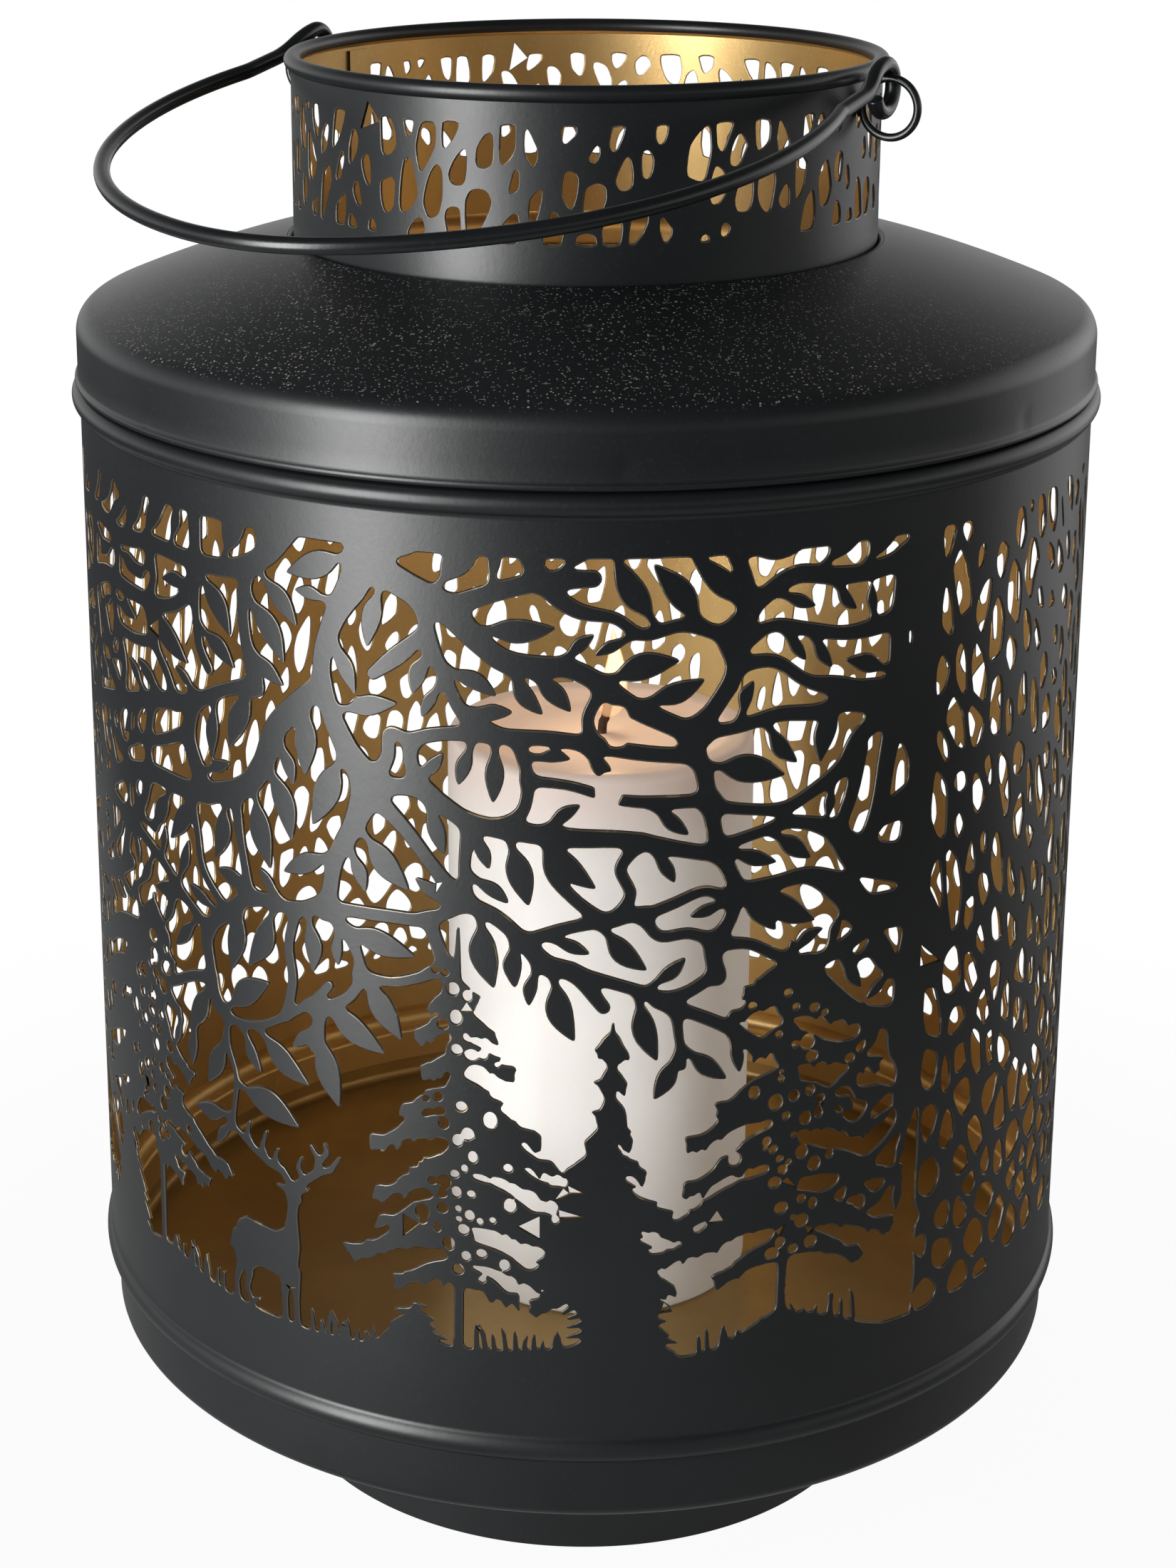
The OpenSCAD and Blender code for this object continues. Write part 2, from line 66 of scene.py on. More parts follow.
# ---------------------------------------------------------------------------------------------
# Sizes in millimetres, from the frame and from the sheet's own values
# ---------------------------------------------------------------------------------------------
SHEET = 0.6                   # thickness of drum, pan, lid and collar
FOOT_SHEET = 0.8
FOOT_FLANGE = 9.0             # width of the flange under the pan
PAN_INSET = 1.2               # how far the pan's wall stands inside the drum's
PAN_CORNER = 2.4
SLIP = 0.2                    # play between a neck and what is pushed over it
LOW_BEAD_R = 3.05
TOP_BEAD_R = 2.21
LOW_BEAD_GAP = 0.15           # from the pan's edge to the lower bead
TOP_BEAD_GAP = 0.2            # from the upper bead to the lid's hem
LID_PROUD = 0.3               # how far the lid's skirt stands outside the drum
HEM_R = 0.8
SHOULDER_R = 4.9
DOME_BULGE = 1.1              # how far the dome's section rises over a straight line
DOME_RISE = 14.0
THROAT_DROP = 34.0            # from the middle of the rolled rim down to the lid's throat
THROAT_FLANGE = 5.5
RIM_R = 1.6
CRIMP = 1.2                   # how far the collar's lip is turned out under the lid
BEAD_FILLETS = (0.3, 1.3)     # where a bead meets a neck, and where it meets the wall
DRUM_PIERCED = 6.5            # from the middle of each bead to the drum's pierced stretch
COLLAR_PIERCED = (3.0, 3.2)   # from the throat and from the rolled rim to the collar's
DRUM_LAP = (7.0, 5, 4)        # width of the lap, and how far it stays off the lower and the upper bead
COLLAR_LAP = (6.0, 1.5, 2.2)  # the same, off the throat and the rolled rim
LOW_BAND = 17.0               # from the middle of the lower bead up to the pattern
TOP_BAND = 9.7                # from the pattern up to the middle of the upper bead

FOOT_R = node_box("foot_ring")[1][0]
FOOT_H = node_box("foot_ring")[1][2]
PAN_R = node_box("base_pan")[1][0]
PAN_TOP = node_box("base_pan")[1][2]
FLOOR_Z = FOOT_H + SHEET
DRUM_R = PAN_R + PAN_INSET
NECK_LOW = node_box("drum")[0][2]
NECK_TOP = node_box("drum")[1][2]
LOW_BEAD_Z = PAN_TOP + LOW_BEAD_GAP + LOW_BEAD_R
HEM_Z = node_box("lid")[0][2]
TOP_BEAD_Z = HEM_Z - TOP_BEAD_GAP - TOP_BEAD_R
LID_R = DRUM_R + LID_PROUD
RIM_Z = node_box("collar")[1][2] - RIM_R
COLLAR_R = node_box("collar")[1][0] - RIM_R + SHEET / 2
THROAT_R = COLLAR_R + SLIP
THROAT_Z = RIM_Z - THROAT_DROP
CORNER_Z = THROAT_Z - DOME_RISE
LOW_NECK_R = PAN_R - SHEET - SLIP
TOP_NECK_R = LID_R - SHEET - SLIP
CANDLE_LOW, CANDLE_HIGH = node_box("candle")
CANDLE_X, CANDLE_Y = (CANDLE_LOW[:2] + CANDLE_HIGH[:2]) / 2
CANDLE_R = (CANDLE_HIGH[0] - CANDLE_LOW[0]) / 2
SEAM_AZ = 159.5         # azimuth of the drum's lapped seam
COLLAR_SEAM_AZ = 236.0
PATTERN_LOW = LOW_BEAD_Z + LOW_BAND
PATTERN_TOP = TOP_BEAD_Z - TOP_BAND
MM_PER_DEG = DRUM_R * math.pi / 180


# ---------------------------------------------------------------------------------------------
# Flat pattern: a grid of distances over the unrolled sheet, below 0 in metal
# ---------------------------------------------------------------------------------------------
STEP = 0.35             # pitch of the grid
FILLET = 1.5            # reach of the fillet where two boughs meet
LEAF_FILLET = 0.9
STALK_HALF = 0.7        # half width of a leaf's stalk and of the rib that carries it on into the blade
RIB_END = 0.35          # share of the leaf's length at which the rib ends
COAT_SOFTENING = 0.9    # how far the powder coat rounds every corner, in grid steps
FAR = 99.0              # a distance larger than any on the sheet


def smooth_min(a, b, reach):
    """Union of two distances with a fillet about `reach` wide where they meet."""
    blend = np.maximum(reach - np.abs(a - b), 0) / reach
    return np.minimum(a, b) - blend * blend * reach / 4


def spline(points, count=8):
    """A smooth run through hand-chosen points; every column is carried along alike."""
    points = np.asarray(points, float)
    padded = np.vstack([2 * points[0] - points[1], points, 2 * points[-1] - points[-2]])
    t = np.linspace(0, 1, count, endpoint=False)[:, None]
    runs = []
    for a, b, c, d in zip(padded, padded[1:], padded[2:], padded[3:]):
        runs.append(0.5 * (2 * b + (c - a) * t + (2 * a - 5 * b + 4 * c - d) * t ** 2
                           + (3 * b - a - 3 * c + d) * t ** 3))
    return np.vstack(runs + [points[-1:]])


def to_segment(x, z, start, end):
    """Distance of every grid point to a straight line, and the share along it of the nearest point."""
    (ax, az), (bx, bz) = start, end
    run = max((bx - ax) ** 2 + (bz - az) ** 2, 1e-9)
    t = np.clip(((x - ax) * (bx - ax) + (z - az) * (bz - az)) / run, 0, 1)
    return np.hypot(x - ax - t * (bx - ax), z - az - t * (bz - az)), t


def within(x, z, points):
    """Which grid points lie inside a closed outline."""
    inside = np.zeros(x.shape, bool)
    for (ax, az), (bx, bz) in zip(points, np.roll(points, -1, 0)):
        if az != bz:
            inside ^= ((z < az) != (z < bz)) & (x < ax + (z - az) * (bx - ax) / (bz - az))
    return inside


def heading_of(degrees):
    """The unit vector of a heading in degrees from +x towards +z."""
    return np.array([math.cos(math.radians(degrees)), math.sin(math.radians(degrees))])


def leaf_shape(t):
    """Half width of a leaf from base (0) to tip (1): fullest before the middle, pointed."""
    return np.sin(math.pi * t ** 0.82) ** 0.9 * (1 - 0.12 * t)


class Cut:
    """The flat sheet as a grid of distances: below 0 is metal, above 0 is cut away.

    It starts as open all over, or as metal where `away` is below 0.
    """

    def __init__(self, start, end, low, high, away=9.0):
        self.x = np.arange(start, end + STEP / 2, STEP)
        self.z = np.arange(low, high + STEP / 2, STEP)
        self.away = np.full((len(self.z), len(self.x)), away)

    def window(self, low, high, margin=6.0):
        """The part of the grid round a box, as slices; margin is the room left round it."""
        i = np.clip(np.searchsorted(self.x, [low[0] - margin, high[0] + margin]), 0, len(self.x))
        j = np.clip(np.searchsorted(self.z, [low[1] - margin, high[1] + margin]), 0, len(self.z))
        return slice(j[0], j[1]), slice(i[0], i[1])

    def area(self, box):
        """x and z at every point of a part of the grid."""
        return np.meshgrid(self.x[box[1]], self.z[box[0]])

    def add(self, box, distance, reach=FILLET):
        """Joins metal to a part of the sheet."""
        self.away[box] = smooth_min(self.away[box], distance, reach)

    def stroke(self, points, reach=FILLET):
        """A run of metal through (x, z, half width) points."""
        points = np.asarray(points, float)
        box = self.window(points[:, :2].min(0), points[:, :2].max(0))
        x, z = self.area(box)
        best = np.full(x.shape, FAR)
        for start, end in zip(points[:-1], points[1:]):
            away, t = to_segment(x, z, start[:2], end[:2])
            best = np.minimum(best, away - start[2] - t * (end[2] - start[2]))
        self.add(box, best, reach)

    def leaf(self, at, heading, length, width, bend=0.0, stalk=2.2, reach=LEAF_FILLET):
        """A pointed leaf on a short stalk; heading in degrees from +x towards +z."""
        way = c, s = heading_of(heading)
        at = np.asarray(at, float)
        tip = at + way * (length + stalk)
        box = self.window(np.minimum(at, tip), np.maximum(at, tip), width + 4)
        x, z = self.area(box)
        along = ((x - at[0]) * c + (z - at[1]) * s - stalk) / length
        across = (z - at[1]) * c - (x - at[0]) * s
        t = np.clip(along, 0, 1)
        across = np.abs(across - bend * length * np.sin(math.pi * t) * 0.5)
        past = (along - t) * length
        blade = np.where(past == 0, (across - width * 0.5 * leaf_shape(t)) * 0.92,
                         np.hypot(across, past) - 0.15)
        off = np.clip(-along * length - stalk, 0, None) + np.clip(along - RIB_END, 0, None) * length
        self.add(box, smooth_min(blade, np.hypot(off, across) - STALK_HALF, 0.8), reach)

    def polygon(self, points, reach=FILLET):
        """A filled outline of (x, z) points."""
        points = np.asarray(points, float)
        box = self.window(points.min(0), points.max(0))
        x, z = self.area(box)
        best = np.full(x.shape, FAR)
        for start, end in zip(points, np.roll(points, -1, 0)):
            best = np.minimum(best, to_segment(x, z, start, end)[0])
        self.add(box, np.where(within(x, z, points), -best, best), reach)

    def punch(self, at, half_wide, half_high):
        """A small oval opening."""
        box = self.window(at, at, 4)
        x, z = self.area(box)
        hole = min(half_wide, half_high) * (1 - np.hypot((x - at[0]) / half_wide, (z - at[1]) / half_high))
        self.away[box] = np.maximum(self.away[box], hole)

    def read(self, points, field=None):
        """The distance, or another field on the same grid, at (x, z) points."""
        grid = self.away if field is None else field
        points = np.asarray(points, float)
        i = np.clip((points[:, 0] - self.x[0]) / STEP, 0, len(self.x) - 1.001)
        j = np.clip((points[:, 1] - self.z[0]) / STEP, 0, len(self.z) - 1.001)
        i0, j0 = i.astype(int), j.astype(int)
        fi, fj = i - i0, j - j0
        return ((grid[j0, i0] * (1 - fi) + grid[j0, i0 + 1] * fi) * (1 - fj)
                + (grid[j0 + 1, i0] * (1 - fi) + grid[j0 + 1, i0 + 1] * fi) * fj)

    def soften(self, sigma):
        """Rounds every corner a little, as a powder coat does; sigma in grid steps."""
        radius = int(math.ceil(3 * sigma))
        weights = np.exp(-0.5 * (np.arange(-radius, radius + 1) / sigma) ** 2)
        weights /= weights.sum()
        for axis in (0, 1):
            padding = [(0, 0), (0, 0)]
            padding[axis] = (radius, radius)
            padded = np.pad(self.away, padding, mode="edge")
            length = self.away.shape[axis]
            self.away = sum(weight * np.take(padded, range(n, n + length), axis)
                            for n, weight in enumerate(weights))


def on_sheet(points):
    """(azimuth, z, ...) rows as (x, z, ...) rows on the unrolled drum."""
    points = np.array(points, float)
    points[:, 0] *= MM_PER_DEG
    return points


# Boughs as (azimuth, z, half width) points
LEFT_BOUGHS = [
    [(-80, 206, 3.0), (-68, 208, 2.6), (-60, 206.5, 2.3), (-52, 208, 2.2), (-44, 207.5, 2.2),
     (-38, 208.5, 2.4), (-34, 212, 2.8), (-31, 218, 3.4)],
    [(-80, 187, 3.0), (-70, 194, 2.8), (-64, 197, 2.4), (-57, 196.5, 2.2), (-50, 197, 1.9),
     (-46, 200.5, 1.9), (-44.4, 207, 2.0)],
    [(-44.2, 218, 2.6), (-44.2, 207, 2.0), (-44.4, 199, 1.6), (-44.0, 192, 1.6), (-42.6, 188, 1.7)],
    [(-36.4, 209, 2.2), (-37.2, 201, 1.9), (-36.6, 193, 2.0), (-35.6, 187, 2.2)],
    [(-27.5, 190, 2.4), (-30, 186, 2.8), (-33.2, 180, 3.0), (-35.2, 172, 3.0), (-38.5, 166.5, 2.8),
     (-46, 163, 2.6), (-54, 162.5, 2.5), (-62, 158.5, 2.5), (-70, 151, 2.5), (-80, 144, 3.0)],
    [(-35.6, 187.5, 2.0), (-40, 185, 1.7), (-45.5, 180.5, 2.2), (-53, 177.5, 2.2), (-61, 173.5, 2.3),
     (-69, 170, 2.4), (-80, 165, 3.0)],
    [(-45, 181, 2.2), (-46.2, 174, 2.6), (-45, 168, 2.8), (-43.4, 163.5, 2.4)],
    [(-46.5, 174, 1.9), (-52, 170, 1.6), (-58, 167.5, 1.4)],
    [(-27.5, 149, 1.8), (-31, 146.5, 1.7), (-37, 146, 2.0), (-41, 141, 1.9), (-44, 136, 2.2),
     (-43.6, 129, 2.0), (-42.6, 121.5, 1.6)],
    [(-43.5, 136.5, 1.4), (-48, 141, 1.6), (-53, 146.5, 1.7), (-60, 150, 1.9), (-68, 152, 2.2)],
    [(-39, 165, 1.9), (-38.4, 157, 1.5), (-37.6, 150, 1.5), (-37.2, 146, 1.6)],
    [(-46, 162.5, 1.5), (-45.2, 155, 1.3), (-44.4, 148, 1.4), (-41, 142, 1.4)],
    [(-43.4, 127, 1.7), (-47, 125.4, 1.5), (-51, 122, 1.5), (-56, 120, 1.8)],
    [(-43, 124, 1.5), (-40.6, 120.4, 1.3), (-36.5, 121, 1.1), (-32.6, 124.6, 1.1), (-29.4, 128.6, 1.1),
     (-27, 133, 1.2)],
    [(-41.2, 120.4, 1.2), (-41.2, 115, 1.0), (-40.0, 109, 0.9), (-40.5, 101.5, 0.8), (-40.8, 97.5, 0.7)],
    [(-31, 146, 1.5), (-32, 139, 1.4), (-31.6, 132, 1.4), (-32.6, 125, 1.2)],
    [(-29.6, 128.4, 1.0), (-28.2, 123.6, 0.9), (-29.2, 119.6, 0.8)],
    [(-53, 177.5, 1.8), (-54.4, 170, 1.7), (-54.6, 163, 1.9), (-56, 156, 1.9), (-60, 149, 2.0),
     (-62, 141, 2.2)],
    [(-62, 207, 1.9), (-61, 201, 1.7), (-62.6, 195, 1.8), (-61.6, 188, 1.7), (-60, 181, 1.6),
     (-61.4, 174, 1.9)],
    [(-70, 208, 2.2), (-69.6, 200, 2.0), (-70.6, 192, 2.2), (-69.4, 182, 2.0), (-70.8, 170, 2.4),
     (-69, 158, 2.2), (-71, 148, 2.6), (-70, 134, 2.8)],
    [(-53, 208, 1.7), (-52, 202, 1.5), (-53.4, 196, 1.7), (-52.4, 189, 1.6), (-50, 184, 1.6),
     (-48.6, 179, 1.9)],
    [(-62, 188, 1.6), (-57, 187.6, 1.6), (-52.4, 189, 1.7)],
    [(-80, 134, 3.4), (-73, 133, 2.6), (-66, 136, 2.4), (-60, 141, 2.0)],
]
MIDDLE_BOUGHS = [
    [(-22, 219, 5.2), (-23.0, 211, 4.0), (-25.6, 203, 2.8), (-27.2, 195, 2.4), (-26.6, 187, 2.6),
     (-24.6, 179.5, 3.0), (-22.4, 173, 3.8), (-23.6, 165.5, 2.8), (-25.9, 158, 2.2), (-26.9, 150, 2.2),
     (-27.6, 147, 2.0)],
    [(-22, 214, 3.4), (-17.5, 210, 3.4), (-13.4, 206.5, 3.4), (-10.2, 201, 2.6), (-7, 197.6, 2.7),
     (-1.5, 197, 2.3), (1.6, 194.5, 2.3), (5, 190, 2.4), (9, 186.5, 2.4), (12, 184, 2.4)],
    [(-13.4, 207, 2.4), (-9, 210, 2.2), (-4, 212.4, 2.2), (1, 213, 2.0)],
    [(-16.5, 209, 1.9), (-15, 200, 1.7), (-13.4, 193, 1.6), (-11.6, 187.5, 1.7), (-8.6, 184.5, 1.9),
     (-3, 184.2, 1.8), (1.5, 183, 1.9), (6, 181.6, 1.9), (11, 180.6, 1.8)],
    [(-9, 184.5, 1.8), (-14, 184, 1.7), (-17, 182, 1.8), (-17.2, 177, 1.8), (-15.6, 173, 2.0)],
    [(-22, 172, 2.6), (-18.6, 173.4, 2.1), (-15.4, 172.5, 2.1), (-11.6, 168.4, 2.2), (-7, 167, 2.3),
     (-1, 166, 2.3), (5, 165.6, 2.0), (10, 163.5, 1.9), (14, 162, 1.9)],
    [(-6.4, 183.5, 1.5), (-5.4, 177, 1.4), (-5.8, 171, 1.5), (-8, 167.5, 1.7)],
    [(-5.4, 176.4, 1.3), (-1, 175.6, 1.2), (4, 173, 1.4), (9, 172.4, 1.6), (13.4, 172.4, 1.7)],
    [(-21.4, 171, 2.4), (-18, 165.5, 1.9), (-15, 159, 1.8), (-12, 153.5, 1.9), (-8.4, 150.4, 1.9),
     (-5.6, 146, 1.9), (-3.4, 142, 2.5), (-0.6, 140.5, 2.0), (2.4, 134, 1.6)],
    [(-11.4, 167.8, 1.6), (-11.8, 160, 1.4), (-11.6, 154, 1.5)],
    [(-11.4, 152.6, 1.4), (-16, 149, 1.7), (-20, 148.6, 1.7), (-25, 148.4, 1.7), (-27.4, 148, 1.7)],
    [(-5.4, 146.6, 1.5), (-1.6, 149, 1.5), (3, 150.6, 1.5), (6.4, 151.6, 1.5)],
    [(-3, 166, 1.6), (-3, 159.6, 1.5), (-0.6, 154.5, 1.5), (2, 151, 1.5)],
    [(-27.2, 148, 1.7), (-24.4, 143, 1.5), (-23.2, 137, 1.5), (-24.4, 132, 1.5), (-27.4, 128, 1.4),
     (-28.6, 123.5, 1.2)],
    [(-23.6, 136.5, 1.4), (-20, 136, 1.3), (-17, 137.4, 1.4), (-14.6, 139.6, 1.7)],
    [(-15.6, 149, 1.7), (-14.6, 144, 1.8), (-13.4, 138, 1.9), (-13.2, 132, 1.9)],
    [(-16.4, 201, 1.8), (-19, 197, 2.2), (-21.4, 193.6, 1.5)],
    [(-22.6, 172, 2.4), (-20, 178, 1.8), (-19.6, 183, 1.6), (-17.2, 182, 1.5)],
]
RIGHT_BOUGHS = [
    [(14.3, 219, 1.8), (16.2, 212, 1.9), (16.4, 206, 2.2), (14.8, 201.6, 2.9), (15.4, 196, 2.2),
     (13.2, 189, 2.1), (10.8, 184.4, 2.3), (12.2, 178, 2.1), (13, 171, 1.9), (14, 163, 1.9),
     (15.8, 156, 1.9), (15.4, 150, 1.7), (13.6, 144.5, 2.1), (14.2, 138.6, 1.8)],
    [(15.2, 203, 2.0), (18, 208.4, 2.1), (21.6, 212, 2.2), (26, 211, 2.1), (31, 211, 2.2),
     (38, 214, 3.2)],
    [(14.4, 202.2, 1.9), (10, 204.4, 1.6), (6, 203, 1.5), (3.2, 206, 1.4), (-0.5, 207.4, 1.9),
     (-3.6, 211.4, 2.0), (-6, 219, 2.2)],
    [(15.6, 199.6, 1.8), (19, 203.2, 1.6), (23, 202, 1.6), (27, 200.4, 1.7), (31, 200.6, 2.2),
     (38, 203, 3.0)],
    [(15.4, 196.6, 1.8), (19.4, 196.8, 1.6), (23, 192.6, 1.6), (26.6, 190.6, 2.6), (30, 188, 4.0),
     (38, 187, 4.6)],
    [(11, 184.6, 1.7), (15.6, 185.4, 1.6), (20, 187, 1.8), (24.6, 186.6, 2.0), (29, 188.2, 2.2)],
    [(12.8, 171.4, 1.6), (17, 170, 1.4), (21, 169.6, 1.5), (24.6, 172.4, 1.7), (27.6, 175.8, 2.2),
     (30, 181.6, 2.4), (36, 186, 3.0)],
    [(14, 163.6, 1.5), (18, 165.4, 1.4), (22, 166.6, 1.5), (26.4, 164, 2.4), (30, 158, 4.2),
     (37, 154, 5.0)],
    [(16, 155, 1.8), (20, 155.6, 1.8), (24, 156, 2.2), (28, 152, 3.8), (31, 147, 4.4), (38, 146, 5.0)],
    [(13.8, 145, 1.7), (17.4, 144.6, 1.4), (20.6, 141.6, 1.5), (24, 139.4, 1.8), (28, 141, 2.0),
     (33, 146, 2.6)],
    [(-0.8, 140.8, 1.6), (3.4, 138.6, 1.5), (7.4, 136, 1.5), (9.6, 132.6, 1.3), (10.2, 127.4, 1.1),
     (10.6, 122, 0.9)],
    [(8.4, 134.6, 1.4), (12.4, 131.6, 1.6), (15.6, 128.6, 1.7), (19, 124, 2.0)],
    [(14, 139.6, 1.6), (11, 136.4, 1.6), (8, 135.2, 1.5)],
    [(6.4, 151.4, 1.4), (9.4, 153.4, 1.4), (12.6, 155.4, 1.3), (15.4, 153.4, 1.4)],
    [(6.2, 151.4, 1.4), (8, 147.4, 1.4), (11, 147.6, 1.4), (13.6, 146, 1.6)],
    [(3.4, 150.8, 1.4), (5, 155.4, 1.4), (4, 160.4, 1.4), (6, 165, 1.5)],
    [(2.2, 193.8, 1.5), (0.6, 188, 1.4), (1.4, 183.2, 1.5)],
    [(27, 163, 1.8), (28.6, 170, 1.9), (29.6, 178, 2.0)],
    [(30, 158, 2.2), (32, 166, 2.4), (33, 176, 2.6), (34, 186, 3.0), (34, 200, 2.6), (34.6, 213, 2.6)],
    [(24, 139.6, 1.8), (27, 133, 2.0), (31, 127, 2.4), (37, 124, 3.0)],
]

# Firs: azimuth of the trunk, heights of the tip, of the lowest boughs and of the ground, thickness of a
# bough, and the tips of the boughs as (azimuth, z)
FIRS = [
    (-54.6, 138, 85, 62, 2.1,
     [(-51.6, 131), (-50.4, 126), (-49.6, 117), (-52, 112), (-47.4, 104.5), (-50, 99), (-48, 94.5),
      (-41.6, 89), (-45.2, 84), (-50, 81.5), (-57.4, 132), (-60, 127), (-63, 121), (-66, 116), (-64, 110),
      (-68.6, 105), (-66, 99), (-71, 95), (-66.6, 89.5), (-62.4, 84.6), (-76, 118), (-78, 108), (-77, 98),
      (-75, 89)]),
    (-12.6, 148, 79, 62, 1.75,
     [(-10.4, 134), (-15.2, 133), (-9, 128), (-17, 127), (-6.8, 121), (-16.4, 119.6), (-8.4, 114.6),
      (-18.6, 112), (-4, 108.4), (-22.4, 104.6), (-2.6, 103), (-17.8, 99.4), (-1.8, 98), (-21.8, 94.6),
      (-3.2, 92.6), (-21.4, 88.6), (-1.2, 87), (-25.4, 81.4), (-3.2, 80), (-19.6, 77), (-6.4, 76)]),
    (3.3, 131, 70, 60, 1.5,
     [(4.7, 125), (2.0, 125.8), (4.6, 119), (2.1, 118.4), (4.8, 113), (1.9, 112.4), (5.4, 108),
      (0.6, 107.6), (7.0, 101.4), (-1.4, 102), (9.4, 93), (-0.6, 100.6), (12.4, 88.6), (-2.2, 95.4),
      (8.4, 84), (-3.8, 90), (10.2, 78.4), (-6.2, 81), (7.6, 73.4), (-4.6, 75)]),
    (22, 144, 81, 66, 1.9,
     [(17.4, 135.4), (26.4, 134), (15.6, 131), (29.6, 127.6), (17.8, 123.4), (27.4, 121.6), (14.4, 113.4),
      (33.4, 117), (11.2, 107.4), (29.4, 110.6), (14.8, 102.6), (31.6, 104.6), (10.8, 98.4), (29, 98.4),
      (8.2, 90.4), (36.8, 93.4), (12.6, 86.6), (29.6, 88.6), (7.6, 84.4), (36, 83.4), (14.6, 79.4),
      (31.4, 79.6)]),
]
# Outlines of the small firs as (azimuth, z) points
SMALL_FIRS = [
    [(-64.4, 84), (-60.8, 73), (-58.4, 61), (-70, 61), (-67.6, 73)],
    [(-17.6, 72.6), (-15.6, 67), (-13.6, 61), (-22, 61), (-19.6, 67)],
    [(3.2, 104), (4.8, 99), (5.6, 92), (6.4, 86), (7.6, 80), (8.2, 74), (8.8, 68), (9.8, 60), (0.2, 60),
     (0.4, 73), (-1.5, 77), (-4.5, 80.5), (-2.6, 86), (-0.6, 89), (0.8, 94), (1.8, 99)],
]
SMALL_FIR_FOOT = 60.5               # a level side at or below this height has no twigs
BOUGH_SHARE = 0.80                  # share of a bough's listed half width that is cut
WOOD_FROM, WOOD_TO = -77.5, 38.8    # azimuths between which the woodland stands; the rest is bark
TRUNK_AZ, TRUNK_HALF = 37.3, 3.4    # the plain trunk at its right end
TRUNK_FLARE = (108, 0.5, 12)        # height under which it widens, how steeply, and by how much at most
PLAIN_ROWS = (8, 4)                 # how far the grid goes on below and above the pattern
# Gaps in front of the flame and of the wick: azimuth, height, half width, half height
FLAME_GAPS = [(3.5, 186.5, 2.2, 4.2), (2.7, 174.8, 2.3, 3.4)]
# The ground's upper line as (azimuth, z) points
GROUND = [(-80, 64.5), (-76, 66), (-71, 63.5), (-66, 62), (-60, 61.8), (-57, 64), (-52, 65.4),
          (-48, 63.6), (-42, 62.4), (-30, 61.6), (-24, 62.4), (-20, 63.4), (-12.5, 64.8), (-6, 65.4),
          (-2, 66.4), (4, 68), (9, 66), (10.8, 64), (14, 64.4), (17, 67.2), (21, 70.6), (25, 69.4),
          (29, 66.6), (32, 64), (35, 62.2), (40, 61.8)]
# Tufts of grass: azimuths from and to, height of the foot, number of blades, longest blade
GRASS = [(-53, -42.6, 63, 10, 6.5), (-30, -22, 61.5, 9, 6), (-11.4, -1, 64.5, 10, 6.5),
         (12, 20, 65, 7, 5), (21, 32.5, 66.5, 10, 6), (-78, -71, 64, 6, 5)]

# Stag, about 20 mm long: outline of the body, and strokes for the legs, tail, ears and antlers, in
# millimetres from the ground under its middle
STAG_AZ, STAG_Z = -36.0, 60.6
STAG_BODY = [(-8.5, 15.6), (-7.6, 18.4), (-5.2, 20.0), (-1.0, 19.6), (2.4, 19.4), (4.3, 20.6),
             (5.0, 23.0), (5.3, 26.0), (4.7, 28.0), (5.2, 29.8), (6.3, 30.6), (7.5, 30.2), (8.5, 28.6),
             (8.9, 27.2), (8.0, 26.0), (7.7, 24.0), (7.9, 21.0), (8.2, 17.4), (7.6, 13.4), (6.6, 11.0),
             (2.4, 10.0), (-1.8, 10.4), (-4.6, 8.6), (-7.4, 9.2), (-8.9, 12.2)]
STAG_LIMBS = [
    [(-7.2, 12.4, 1.8), (-7.2, 8.6, 1.1), (-8.4, 5.4, 0.75), (-8.0, -0.5, 0.85)],
    [(-5.4, 11, 1.8), (-4.6, 8, 0.9), (-5.4, 5.0, 0.62), (-4.2, 2.4, 0.5), (-2.0, 3.6, 0.35)],
    [(4.4, 12, 1.6), (4.2, 6.0, 0.8), (4.3, -0.5, 0.75)],
    [(6.8, 12, 1.4), (7.0, 6.0, 0.75), (7.2, -0.5, 0.7)],
    [(-8.4, 15.4, 0.9), (-9.6, 12.4, 0.45)],
    [(5.2, 28.8, 0.6), (2.6, 29.2, 0.28)],
    [(8.0, 29.0, 0.6), (10.4, 30.0, 0.28)],
    [(6.2, 30.0, 1.0), (4.4, 32.4, 0.95), (0.6, 33.2, 0.9), (-3.6, 35.2, 0.8), (-7.0, 37.2, 0.55),
     (-8.4, 38.6, 0.35)],
    [(3.6, 32.6, 0.7), (2.6, 34.4, 0.6), (3.2, 36.6, 0.35)],
    [(0.8, 33.1, 0.75), (-0.6, 36.0, 0.65), (0.6, 39.4, 0.35)],
    [(-2.8, 34.8, 0.75), (-4.4, 37.4, 0.6), (-3.6, 40.2, 0.35)],
    [(7.4, 30.0, 1.0), (9.8, 32.0, 0.95), (12.4, 34.0, 0.9), (12.6, 37.0, 0.7), (11.0, 39.4, 0.4)],
    [(9.2, 31.8, 0.7), (8.0, 34.0, 0.6), (8.8, 36.4, 0.35)],
    [(12.5, 36.0, 0.7), (14.6, 38.6, 0.6), (14.0, 40.6, 0.35)],
    [(12.0, 34.0, 0.75), (15.4, 35.4, 0.7), (17.2, 38.4, 0.35)],
]


